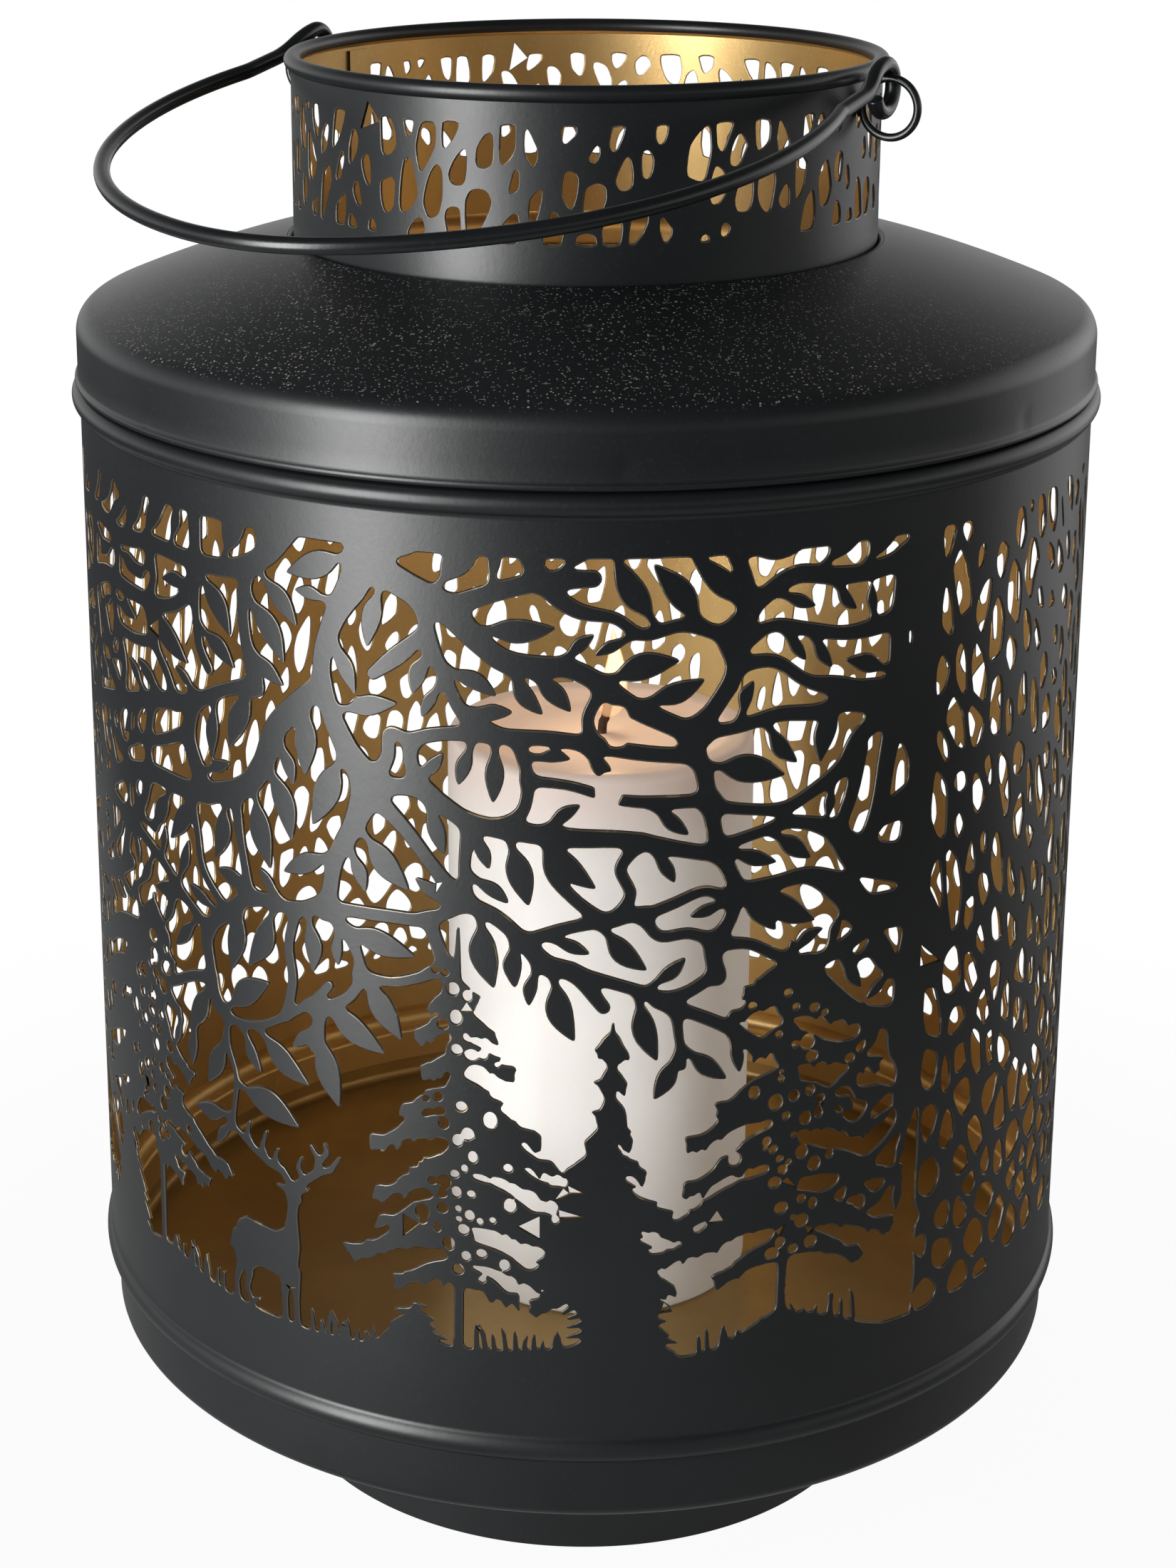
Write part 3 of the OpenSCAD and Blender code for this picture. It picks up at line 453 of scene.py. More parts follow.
# Where a leaf's room is tried: shares of its length, and half its width there as a share of the whole
LEAF_TRIES = np.array([(0.45, 0.5), (0.6, 0.46), (0.75, 0.36), (0.9, 0.2), (1.0, 0.05), (1.08, 0.0)]).T
LEAF_SWINGS = (42, 55, 68, 30, 80)    # angles to its bough that a leaf tries, in degrees
LEAF_SHARES = (1.0, 0.86, 0.72)       # shares of its full size that it tries
LEAF_SWAY = 5                         # how far each angle may be off, in degrees
LEAF_LENGTHS = (0.92, 1.12)           # range of a leaf's length to the one that its round gives
LEAF_WIDTHS = (0.92, 1.08)            # the same for its width
LEAF_BENDS = (-0.10, 0.16)            # range of its bend towards the bough's end
ENOUGH_ROOM = 1.6                     # more room than this makes a place no better
SIZE_WORTH, SIDE_WORTH = 0.9, 0.35    # millimetres of room that full size and the right side count for
# Rounds of leaves: side of the first leaf, spacing, length, width to length, least room
LEAF_ROUNDS = [(-1, 8.0, 12.5, 0.42, 0.8), (1, 6.0, 8.5, 0.45, 0.7)]


def room_for_leaf(cut, start, heading, length, stalk, width):
    """The least room to other metal along the outer part of a leaf that isn't there yet."""
    reach = LEAF_TRIES[0] * length + stalk
    return (cut.read(start + reach[:, None] * heading_of(heading)) - LEAF_TRIES[1] * width).min()


def add_leaves(cut, route, dice, side, spacing, size, wide, least_room):
    """Alternate leaves on short stalks along a bough, each where it has room."""
    path = spline(on_sheet(route), 12)
    along = np.concatenate([[0], np.cumsum(np.hypot(*np.diff(path[:, :2], axis=0).T))])
    at = spacing * 0.4
    while at < along[-1]:
        i = min(np.searchsorted(along, at), len(path) - 2)
        run = path[i + 1] - path[i]
        forward = math.degrees(math.atan2(run[1], run[0]))
        thick = path[i, 2]
        best = None
        for flip in (side, -side):
            for swing in LEAF_SWINGS:
                for share in LEAF_SHARES:
                    heading = forward + flip * (swing + dice.uniform(-LEAF_SWAY, LEAF_SWAY))
                    length = size * share * dice.uniform(*LEAF_LENGTHS)
                    start = path[i, :2] + 0.6 * thick * heading_of(heading)
                    room = room_for_leaf(cut, start, heading, length, thick * 0.3 + 1.8, length * wide)
                    score = min(room, ENOUGH_ROOM) + SIZE_WORTH * share - (SIDE_WORTH if flip != side else 0)
                    if room > least_room and (best is None or score > best[0]):
                        best = (score, start, heading, length, flip)
        if best:
            _, start, heading, length, flip = best
            cut.leaf(start, heading, length, length * wide * dice.uniform(*LEAF_WIDTHS),
                     bend=flip * dice.uniform(*LEAF_BENDS))
            side = -flip
        at += spacing * dice.uniform(0.85, 1.2)


MOST_FILLS = 900              # more than the wide openings of the drum
CROSSING = (0.5, 16)          # step and end of the search for metal on each side
CROSSING_TURN = 15            # degrees between the lines that are tried
LEAF_CHORD = (5.5, 14)        # widths of an opening that a leaf may cross
LEAF_CHANCE = 0.72
CHORD_TO_LEAF = (0.76, 0.33)  # length and width of that leaf to the opening's width
SLIMMEST_LEAF = 2.4
CROSSING_BOW = 0.18           # how far a twig across an opening may bow, to its length
CROSSING_HALF = (1.3, 0.8)    # its half width at the ends and in the middle


def narrowest_crossing(cut, at, dice):
    """The shortest line through a place from metal to metal: its length, its ends and its heading."""
    step, end = CROSSING
    reach = np.arange(step, end, step)
    best = None
    for heading in np.arange(0, 180, CROSSING_TURN) + dice.uniform(0, CROSSING_TURN):
        way = heading_of(heading)
        ahead, behind = (cut.read(at + sign * reach[:, None] * way) for sign in (1, -1))
        if ahead.min() > 0 or behind.min() > 0:
            continue
        run = reach[np.argmax(ahead <= 0)], reach[np.argmax(behind <= 0)]
        if best is None or sum(run) < best[0]:
            best = (sum(run), at + run[0] * way, at - run[1] * way, heading)
    return best


def fill_wide_openings(cut, dice, limit):
    """Splits each opening that is wider than its place allows: a leaf grows into it or a twig crosses it."""
    for _ in range(MOST_FILLS):
        over = cut.away - limit
        j, i = np.unravel_index(np.argmax(over), over.shape)
        if over[j, i] <= 0:
            return
        best = narrowest_crossing(cut, np.array([cut.x[i], cut.z[j]]), dice)
        if best is None:    # no metal within reach: this place is left open
            cut.away[max(j - 2, 0):j + 3, max(i - 2, 0):i + 3] = limit[j, i] * 0.9
            continue
        chord, start, end, heading = best
        if dice.uniform() < 0.5:
            start, end, heading = end, start, heading + 180
        if LEAF_CHORD[0] < chord < LEAF_CHORD[1] and dice.uniform() < LEAF_CHANCE:
            cut.leaf(start, heading + 180 + dice.uniform(-8, 8), chord * CHORD_TO_LEAF[0],
                     max(chord * CHORD_TO_LEAF[1], SLIMMEST_LEAF), dice.uniform(-0.12, 0.12), 1.2)
        else:
            bow = dice.uniform(-CROSSING_BOW, CROSSING_BOW)
            middle = (start + end) / 2 + np.array([start[1] - end[1], end[0] - start[0]]) * bow
            thick, thin = CROSSING_HALF
            cut.stroke(spline([(*start, thick), (*middle, thin), (*end, thick)], 5))


TWIG_SPACING = 0.72                            # along a fir's bough
HANGING_TWIGS = ((-64, -22), (2.4, 4.6))       # range of their angle to the bough and of their length
RISING_TWIGS = ((18, 52), (1.4, 3.0))
HANGING_SHARE = 0.66                           # share of the twigs that hang
SLIM_FIR = 1.6                                 # a fir with thinner boughs than this has no gaps
GAPS_PER_MM = 4.2                              # gaps tried for each millimetre of a fir's height
GAP_SPREAD, GAP_R = 5.4, (0.5, 1.4)            # how far they scatter from the trunk, and their half width
SMALL_TWIG_SPACING = 2.1                       # along the sides of a small fir
SMALL_TWIGS = ((1.6, 3.4), (0.2, 2.2))         # how far they reach out and down
BLADE_HIGH, BLADE_LEAN = (0.55, 1.0), 0.28     # heights of a tuft's blades to its longest, and their lean


def add_bough(cut, dice, start, end, thick):
    """One ragged fir bough: a tapered drooping spine with short twigs below and above it."""
    run = end - start
    reach = math.hypot(*run)
    side = 1 if run[0] > 0 else -1
    spine = spline([(*start, thick), (*(start + run * 0.45 + (0, 0.05 * reach)), thick * 0.74),
                    (*(start + run * 0.78 - (0, 0.03 * reach)), thick * 0.40), (*end, 0.12)], 6)
    cut.stroke(spine, 0.7)
    for _ in range(int(reach / TWIG_SPACING)):
        share = dice.uniform(0.12, 1.0)
        n = int(share * (len(spine) - 1))
        swings, lengths = HANGING_TWIGS if dice.uniform() < HANGING_SHARE else RISING_TWIGS
        heading = math.radians(dice.uniform(*swings)) + math.atan2(run[1], abs(run[0]))
        length = dice.uniform(*lengths) * (1.15 - 0.45 * share)
        tip = spine[n, :2] + (side * length * math.cos(heading), length * math.sin(heading))
        cut.stroke([(*spine[n, :2], 0.7), (*((spine[n, :2] + tip) / 2), 0.5), (*tip, 0.08)], 0.5)


def add_fir(cut, dice, az, top, skirt, foot, bulk, tips):
    """A fir with a thin trunk, ragged boughs to their tips, and little gaps where the metal is deep."""
    x = az * MM_PER_DEG
    cut.stroke([(x + 0.2, top, 0.35), (x - 0.2, top - 0.25 * (top - skirt), 1.0), (x + 0.2, skirt + 6, 1.7),
                (x, skirt - 2, 0.95), (x - 0.2, foot, 0.95)], 1.0)
    for tip_az, tip_z in tips:
        end = np.array([tip_az * MM_PER_DEG, tip_z])
        reach = abs(end[0] - x)
        start = np.array([x, min(tip_z + 0.22 * reach + 1.2, top - 3)])
        add_bough(cut, dice, start, end, bulk + 0.05 * reach)
    for _ in range(int((top - skirt) * GAPS_PER_MM) if bulk > SLIM_FIR else 0):
        at = np.array([x + dice.normal(0, GAP_SPREAD), dice.uniform(skirt, top - 8)])
        radius = dice.uniform(*GAP_R)
        if cut.read([at])[0] < -0.35 - 0.75 * radius:
            cut.punch(at, radius, radius * dice.uniform(0.8, 1.3))


def add_small_fir(cut, dice, outline):
    """A small solid fir with short twigs down its sides."""
    outline = on_sheet(outline)
    cut.polygon(outline, 0.8)
    for a, b in zip(outline, np.roll(outline, -1, 0)):
        if a[1] == b[1] <= SMALL_FIR_FOOT:
            continue
        for share in np.arange(0.06, 0.95, SMALL_TWIG_SPACING / max(math.hypot(*(b - a)), 3)):
            at = a + (b - a) * share
            side = 1 if at[0] > outline[:, 0].mean() else -1
            out, down = (dice.uniform(*reach) for reach in SMALL_TWIGS)
            tip = (at[0] + side * out, at[1] - down)
            cut.stroke([(*at, 0.6), (*tip, 0.2)], 0.35)


def add_ground(cut, dice):
    """The uneven ground and its tufts of grass."""
    x, z = np.meshgrid(cut.x, cut.z)
    azimuth = x[0] / MM_PER_DEG
    line = np.interp(azimuth, *np.array(GROUND).T)
    wooded = (x[0] > GROUND[0][0] * MM_PER_DEG) & (x[0] < GROUND[-1][0] * MM_PER_DEG)
    cut.away = smooth_min(cut.away, np.where(wooded, z - line, 9), 1.2)
    for start, end, foot, count, tall in GRASS:
        for k in range(count):
            x = (start + (end - start) * (k + dice.uniform(0.2, 0.8)) / count) * MM_PER_DEG
            high = tall * dice.uniform(*BLADE_HIGH)
            lean = dice.uniform(-BLADE_LEAN, BLADE_LEAN) * high
            cut.stroke([(x, foot - 1, 0.5), (x + lean * 0.35, foot + high * 0.6, 0.40),
                        (x + lean, foot + high, 0.2)], 0.25)


# Bark: pitch of its openings across and up, their tilt in degrees, half width of the plain strip at a seam,
# height at which they are round, range of half the metal between them, range of their size to the pitch
DRUM_BARK = ((5.0, 12.2), 13, 6.5, 80, (0.45, 1.05), (0.60, 0.86))
COLLAR_BARK = ((4.9, 9.6), -3, 4.5, 0, (0.45, 1.0), (0.64, 0.95))
BARK_JITTER = (0.34, 0.32)      # how far an opening may leave its place in the rows, in pitches
BARK_CHANGE = 55                # height over which they change from round to upright
BARK_STRETCH = (1.1, 1.7)       # height to width of a round opening, and what an upright one adds
BARK_SWAY = (14, 30)            # degrees by which an opening's tilt varies, and what a round one adds


def add_bark(cut, dice, start, end, low, high, seams, bark):
    """Between two places everything is metal but for leaning pebbles, the gaps of cracked bark."""
    pitch, tilt, plain_half, round_at, webs, sizes = bark
    box = cut.window((start, low), (end, high), 0)
    x, z = cut.area(box)
    columns, rows = int((end - start) / pitch[0]), int(round((high - low) / pitch[1]))
    first, second = np.full((2, *x.shape), FAR)
    web, size = np.zeros((2, *x.shape))
    for i in range(-1, columns + 2):
        for j in range(-1, rows + 2):
            at_x = start + (i + 0.5 + dice.uniform(-BARK_JITTER[0], BARK_JITTER[0])) * pitch[0]
            row = j + 0.5 * (i % 2) + 0.25
            at_z = low + (row + dice.uniform(-BARK_JITTER[1], BARK_JITTER[1])) * pitch[1]
            own_web, own_size = dice.uniform(*webs), dice.uniform(*sizes) * pitch[0]
            upright = min(max((at_z - round_at) / BARK_CHANGE, 0.12), 1.0)
            tilted = (tilt + dice.uniform(-BARK_SWAY[0], BARK_SWAY[0])) * (0.4 + 0.6 * upright)
            lean = math.radians(tilted + dice.uniform(-BARK_SWAY[1], BARK_SWAY[1]) * (1 - upright))
            i0, i1 = np.searchsorted(cut.x[box[1]], [at_x - 3 * pitch[0], at_x + 3 * pitch[0]])
            j0, j1 = np.searchsorted(cut.z[box[0]], [at_z - 2.4 * pitch[1], at_z + 2.4 * pitch[1]])
            if i0 == i1 or j0 == j1:
                continue
            near = (slice(j0, j1), slice(i0, i1))
            dx, dz = x[near] - at_x, z[near] - at_z
            stretch = BARK_STRETCH[0] + BARK_STRETCH[1] * upright
            away = np.hypot(dx * math.cos(lean) + dz * math.sin(lean),
                            (dz * math.cos(lean) - dx * math.sin(lean)) / stretch)
            nearer = away < first[near]
            second[near] = np.where(nearer, first[near], np.minimum(second[near], away))
            web[near] = np.where(nearer, own_web, web[near])
            size[near] = np.where(nearer, own_size, size[near])
            first[near] = np.where(nearer, away, first[near])
    hole = smooth_min((second - first) * 0.5 - web, size - first, 1.6)
    margin = np.minimum(np.minimum(z - low, high - z), np.minimum(x - start, end - x))
    seam = np.min([np.abs(x - at) for at in seams], axis=0) - plain_half
    hole = smooth_min(hole, np.minimum(margin, seam), 1.2)
    cut.away[box] = np.where((x > start) & (x < end), hole, cut.away[box])


def widest_openings(cut):
    """How wide an opening may be at each place of the wood, as the distance from its middle to the metal.

    It is narrower at the left and right ends, and free below the boughs and outside the wood.
    """
    azimuth, z = np.meshgrid(cut.x / MM_PER_DEG, cut.z)
    limit = np.full(z.shape, 3.2)
    limit -= 1.75 * np.clip((-44 - azimuth) / 14, 0, 1) + 1.6 * np.clip((azimuth - 20) / 8, 0, 1)
    lowest = 124 + 10 * np.clip((azimuth + 30) / 16, 0, 1) + 4 * np.clip((azimuth - 10) / 10, 0, 1)
    lowest = np.where((azimuth < -45) | (azimuth > 22), 84, lowest)
    outside = (z < lowest) | (z > PATTERN_TOP) | (azimuth < WOOD_FROM) | (azimuth > WOOD_TO)
    return np.where(outside, FAR, limit)


def drum_pattern():
    """The whole cut pattern of the drum, from its seam once round."""
    dice = np.random.default_rng(11)
    seam, back = SEAM_AZ * MM_PER_DEG, (SEAM_AZ - 360) * MM_PER_DEG
    low, high = PATTERN_LOW - 0.4, PATTERN_TOP + 0.2
    cut = Cut(back, seam, PATTERN_LOW - PLAIN_ROWS[0], PATTERN_TOP + PLAIN_ROWS[1])
    boughs = LEFT_BOUGHS + MIDDLE_BOUGHS + RIGHT_BOUGHS
    for route in boughs:
        cut.stroke(spline(on_sheet(route)) * (1, 1, BOUGH_SHARE))
    stag = np.array([STAG_AZ * MM_PER_DEG, STAG_Z])
    cut.polygon(stag + np.array(STAG_BODY), 0.8)
    for limb in STAG_LIMBS:
        cut.stroke(np.array(limb) + np.append(stag, 0), 0.5)
    for fir in FIRS:
        add_fir(cut, dice, *fir)
    for outline in SMALL_FIRS:
        add_small_fir(cut, dice, outline)
    add_ground(cut, dice)
    for side, *leaves in LEAF_ROUNDS:
        for number, route in enumerate(boughs):
            add_leaves(cut, route, dice, -side if number % 2 else side, *leaves)
    x, z = np.meshgrid(cut.x, cut.z)
    below, slope, most = TRUNK_FLARE
    foot = np.clip((below - z) * slope, 0, most)
    trunk = np.abs(x - TRUNK_AZ * MM_PER_DEG) - TRUNK_HALF + 0.8 * np.sin(z * 0.23) + foot
    cut.away = smooth_min(cut.away, trunk, 1.5)
    fill_wide_openings(cut, dice, widest_openings(cut))
    for az, height, wide, tall in FLAME_GAPS:
        cut.punch(np.array([az * MM_PER_DEG, height]), wide, tall)
    for start, end in (((WOOD_TO + 0.2) * MM_PER_DEG, seam), (back, (WOOD_FROM - 0.6) * MM_PER_DEG)):
        add_bark(cut, dice, start, end, low, high, (seam, back), DRUM_BARK)
    cut.away = np.minimum(cut.away, np.minimum(z - low, high - z))
    cut.soften(COAT_SOFTENING)
    return cut


def collar_pattern():
    """The cut pattern of the collar, from its seam once round."""
    dice = np.random.default_rng(5)
    per_deg = COLLAR_R * math.pi / 180
    seam, back = COLLAR_SEAM_AZ * per_deg, (COLLAR_SEAM_AZ - 360) * per_deg
    low, high = THROAT_Z + 6.5, RIM_Z - 5
    cut = Cut(back, seam, low - 4, high + 2.5, -9.0)
    add_bark(cut, dice, back, seam, low, high, (seam, back), COLLAR_BARK)
    cut.soften(COAT_SOFTENING)
    return cut


# ---------------------------------------------------------------------------------------------
# From the flat pattern to a rolled wall
# ---------------------------------------------------------------------------------------------
# Marching squares: for each set of a cell's corners that is metal, the sides that the outline enters and
# leaves by. Corners are numbered counterclockwise from the lower left, sides likewise from the bottom.
CROSSINGS = {1: [(0, 3)], 2: [(1, 0)], 3: [(1, 3)], 4: [(2, 1)], 5: [(0, 3), (2, 1)], 6: [(2, 0)],
             7: [(2, 3)], 8: [(3, 2)], 9: [(0, 2)], 10: [(1, 0), (3, 2)], 11: [(1, 2)], 12: [(3, 1)],
             13: [(0, 1)], 14: [(3, 0)]}
SMALLEST_CUT = 1.1     # square millimetres; what is smaller isn't cut
TRUE_TO = 0.03         # how far a thinned outline may leave the full one
LONGEST_SIDE = 2.5     # of a thinned outline


def loops_of(cut):
    """Closed outlines in the grid: arrays of (x, z) points with metal on their left, each with its area."""
    grid = cut.away
    rows, columns = grid.shape
    metal = grid < 0
    case = (metal[:-1, :-1] + 2 * metal[:-1, 1:] + 4 * metal[1:, 1:] + 8 * metal[1:, :-1])
    following = np.full(2 * rows * columns, -1, np.int64)
    for number, pairs in CROSSINGS.items():
        j, i = np.nonzero(case == number)
        sides = [j * columns + i, rows * columns + j * columns + i + 1, (j + 1) * columns + i,
                 rows * columns + j * columns + i]
        for a, b in pairs:
            following[sides[a]] = sides[b]
    loops = []
    for start in np.flatnonzero(following >= 0):
        loop = []
        at = start
        while following[at] >= 0:
            loop.append(at)
            following[at], at = -1, following[at]
        if loop and at == start:
            loops.append(np.array(loop))
    found = []
    for loop in loops:
        upright = loop >= rows * columns
        cell = loop - upright * rows * columns
        j, i = cell // columns, cell % columns
        a = grid[j, i]
        b = np.where(upright, grid[np.minimum(j + 1, rows - 1), i], grid[j, np.minimum(i + 1, columns - 1)])
        share = a / (a - b)
        points = np.column_stack([cut.x[i] + np.where(upright, 0, share) * STEP,
                                  cut.z[j] + np.where(upright, share, 0) * STEP])
        x, z = points.T
        found.append((points, 0.5 * np.sum(x * np.roll(z, -1) - np.roll(x, -1) * z)))
    return found


def outlines(cut):
    """Outlines of the openings, without loose islands of metal and specks too small to cut."""
    for points, area in loops_of(cut):
        if area > -SMALLEST_CUT:
            box = cut.window(points.min(0), points.max(0), 1)
            filled = 1.0 if area > 0 else -1.0
            cut.away[box] = np.where(within(*cut.area(box), points), filled, cut.away[box])
    return [thinned(points) for points, area in loops_of(cut) if area < -SMALLEST_CUT]


def thinned(points):
    """A closed outline with the points left out that its shape doesn't need."""
    keep = np.zeros(len(points), bool)
    far = int(np.argmax(np.hypot(*(points - points[0]).T)))
    keep[[0, far]] = True
    closed = np.vstack([points, points[:1]])
    spans = [(0, far), (far, len(points))]
    while spans:
        a, b = spans.pop()
        if b - a < 2:
            continue
        run = closed[b] - closed[a]
        rest = closed[a + 1:b] - closed[a]
        length = math.hypot(*run)
        if length:
            off = np.abs(run[0] * rest[:, 1] - run[1] * rest[:, 0]) / length
        else:
            off = np.hypot(*rest.T)
        worst = int(np.argmax(off))
        if off[worst] > TRUE_TO or length > LONGEST_SIDE:
            middle = a + 1 + worst if off[worst] > TRUE_TO else (a + b) // 2
            keep[middle % len(points)] = True
            spans += [(a, middle), (middle, b)]
    return points[keep]


def add_to_scene(name, data):
    """A new object in the scene."""
    made = bpy.data.objects.new(name, data)
    bpy.context.scene.collection.objects.link(made)
    return made


class Shape:
    """Collects points in millimetres, with their normals, faces and material slots, for one piece."""

    def __init__(self):
        self.points, self.normals, self.faces, self.slots, self.count = [], [], [], [], 0

    def add(self, points, normals, faces, slot):
        """A patch; its faces are turned round where they don't look the way of its normals."""
        points = np.asarray(points, float).reshape(-1, 3)
        normals = np.asarray(normals, float).reshape(-1, 3)
        faces = np.asarray(faces).reshape(len(faces), -1)
        a, b, c = (points[faces[:, n]] for n in range(3))
        if np.einsum("ij,ij", np.cross(b - a, c - a), normals[faces[:, 0]]) < 0:
            faces = faces[:, ::-1]
        self.points.append(points)
        self.normals.append(normals)
        self.faces.append(faces + self.count)
        self.slots.append(np.broadcast_to(slot, len(faces)))
        self.count += len(points)

    def grid(self, points, slot, normals=None, wrap=(False, False)):
        """A patch of (rows, columns, 3) points; seen from outside, columns run right and rows up."""
        rows, columns = points.shape[:2]
        if normals is None:
            normals = grid_normals(points, wrap)
        number = np.arange(rows * columns).reshape(rows, columns)
        up = np.roll(number, -1, 0) if wrap[0] else number[1:]
        base = number if wrap[0] else number[:-1]
        right = np.roll(np.stack([base, up]), -1, 2)
        if not wrap[1]:
            base, up, right = base[:, :-1], up[:, :-1], right[:, :, :-1]
        faces = np.stack([base, right[0], right[1], up], -1).reshape(-1, 4)
        self.add(points, normals, faces, slot)

    def revolve(self, run, slot, shaped=None):
        """A surface round the axis: run is (r, z) points with the outside on their right."""
        run = np.asarray(run, float)
        angle = math.radians(SEAM_AZ) + np.arange(STEPS) * 2 * math.pi / STEPS
        r = np.repeat(run[:, :1], STEPS, 1)
        z = np.repeat(run[:, 1:2], STEPS, 1)
        if shaped:
            r, z = shaped(r, z, np.degrees(angle)[None, :])
            self.grid(around(r, z, angle), slot, None, (False, True))
            return
        forward = np.gradient(run, axis=0)
        forward /= np.hypot(*forward.T)[:, None]
        out_r, out_z = forward[:, 1:2], -forward[:, :1]
        normals = np.stack([out_r * np.sin(angle), -out_r * np.cos(angle), out_z * np.ones(STEPS)], -1)
        self.grid(around(r, z, angle), slot, normals, (False, True))

    def make(self, name, materials):
        """The piece as a Blender object."""
        points = np.vstack(self.points) * MM
        normals = np.vstack(self.normals)
        corners = np.concatenate([faces.ravel() for faces in self.faces])
        sizes = np.concatenate([np.full(len(faces), faces.shape[1]) for faces in self.faces])
        starts = np.concatenate([[0], np.cumsum(sizes)[:-1]])
        mesh = bpy.data.meshes.new(name)
        mesh.vertices.add(len(points))
        mesh.vertices.foreach_set("co", points.ravel())
        mesh.loops.add(len(corners))
        mesh.loops.foreach_set("vertex_index", corners.astype(np.int32))
        mesh.polygons.add(len(sizes))
        mesh.polygons.foreach_set("loop_start", starts.astype(np.int32))
        mesh.polygons.foreach_set("material_index", np.concatenate(self.slots).astype(np.int32))
        mesh.polygons.foreach_set("use_smooth", np.ones(len(sizes), bool))
        for material in materials:
            mesh.materials.append(material)
        mesh.update(calc_edges=True)
        mesh.validate()
        normals /= np.maximum(np.linalg.norm(normals, axis=1), 1e-9)[:, None]
        mesh.normals_split_custom_set_from_vertices(normals)
        return add_to_scene(name, mesh)


def around(r, z, angle):
    """Points at a radius, a height and an azimuth in radians."""
    return np.stack([r * np.sin(angle), -r * np.cos(angle), z + 0 * angle], -1)


def grid_normals(points, wrap):
    """Normals of a patch from its own shape."""
    def slope(axis):
        if wrap[axis]:
            return np.roll(points, -1, axis) - np.roll(points, 1, axis)
        return np.gradient(points, axis=axis)
    across = np.cross(slope(1), slope(0))
    return across / np.maximum(np.linalg.norm(across, axis=2, keepdims=True), 1e-12)


def arc(centre, radius, start, end, count=12):
    """Points on a circle between two angles in degrees from +r towards +z."""
    angle = np.radians(np.linspace(start, end, count + 1))
    return np.column_stack([centre[0] + radius * np.cos(angle), centre[1] + radius * np.sin(angle)])


def rounded(corners, count=8):
    """A run through (r, z) corners; a third number rounds that corner with this radius."""
    points = []
    last = len(corners) - 1
    for n, corner in enumerate(corners):
        at = np.array(corner[:2], float)
        if len(corner) < 3 or n in (0, last):
            points.append(at)
            continue
        before = np.array(corners[n - 1][:2], float) - at
        after = np.array(corners[n + 1][:2], float) - at
        before /= np.hypot(*before)
        after /= np.hypot(*after)
        half = math.acos(max(-1, min(1, before @ after))) / 2
        reach = corner[2] / math.tan(half)
        middle = at + (before + after) / np.hypot(*(before + after)) * corner[2] / math.sin(half)
        start, end = at + before * reach - middle, at + after * reach - middle
        a, b = math.atan2(start[1], start[0]), math.atan2(end[1], end[0])
        turn = (b - a + math.pi) % (2 * math.pi) - math.pi
        for k in range(count + 1):
            angle = a + turn * k / count
            points.append(middle + corner[2] * np.array([math.cos(angle), math.sin(angle)]))
    return np.array(points)


def offset(run, distance):
    """A run moved to its left by a distance."""
    forward = np.gradient(run, axis=0)
    forward /= np.hypot(*forward.T)[:, None]
    return run + distance * np.column_stack([-forward[:, 1], forward[:, 0]])


def dense(run, longest=3.0):
    """A run with points added so that no stretch is longer than a length."""
    points = [run[0]]
    for a, b in zip(run, run[1:]):
        count = max(1, math.ceil(np.hypot(*(b - a)) / longest))
        points += [a + (b - a) * (k + 1) / count for k in range(count)]
    return np.array(points)


def sheet_ring(shape, outer, thickness, shaped=None, outside=BLACK, inside=GOLD):
    """A bent sheet from its outer side: both skins and the two cut edges."""
    inner = offset(outer, thickness)
    shape.revolve(outer, outside, shaped)
    shape.revolve(inner[::-1], inside, shaped)
    shape.revolve([outer[-1], inner[-1]], EDGE, shaped)
    shape.revolve([inner[0], outer[0]], EDGE, shaped)


BEVEL = 0.34           # width of the bevel at a cut edge
BEVEL_OUT = 0.26       # its depth on the outside
BEVEL_IN = 0.15        # its depth on the inside
LATTICE = 2.7          # pitch of the points that fill the wall between its openings


def joined(count, shift=0):
    """Pairs of neighbours round a closed loop of numbered points."""
    return shift + np.column_stack([np.arange(count), np.roll(np.arange(count), -1)])


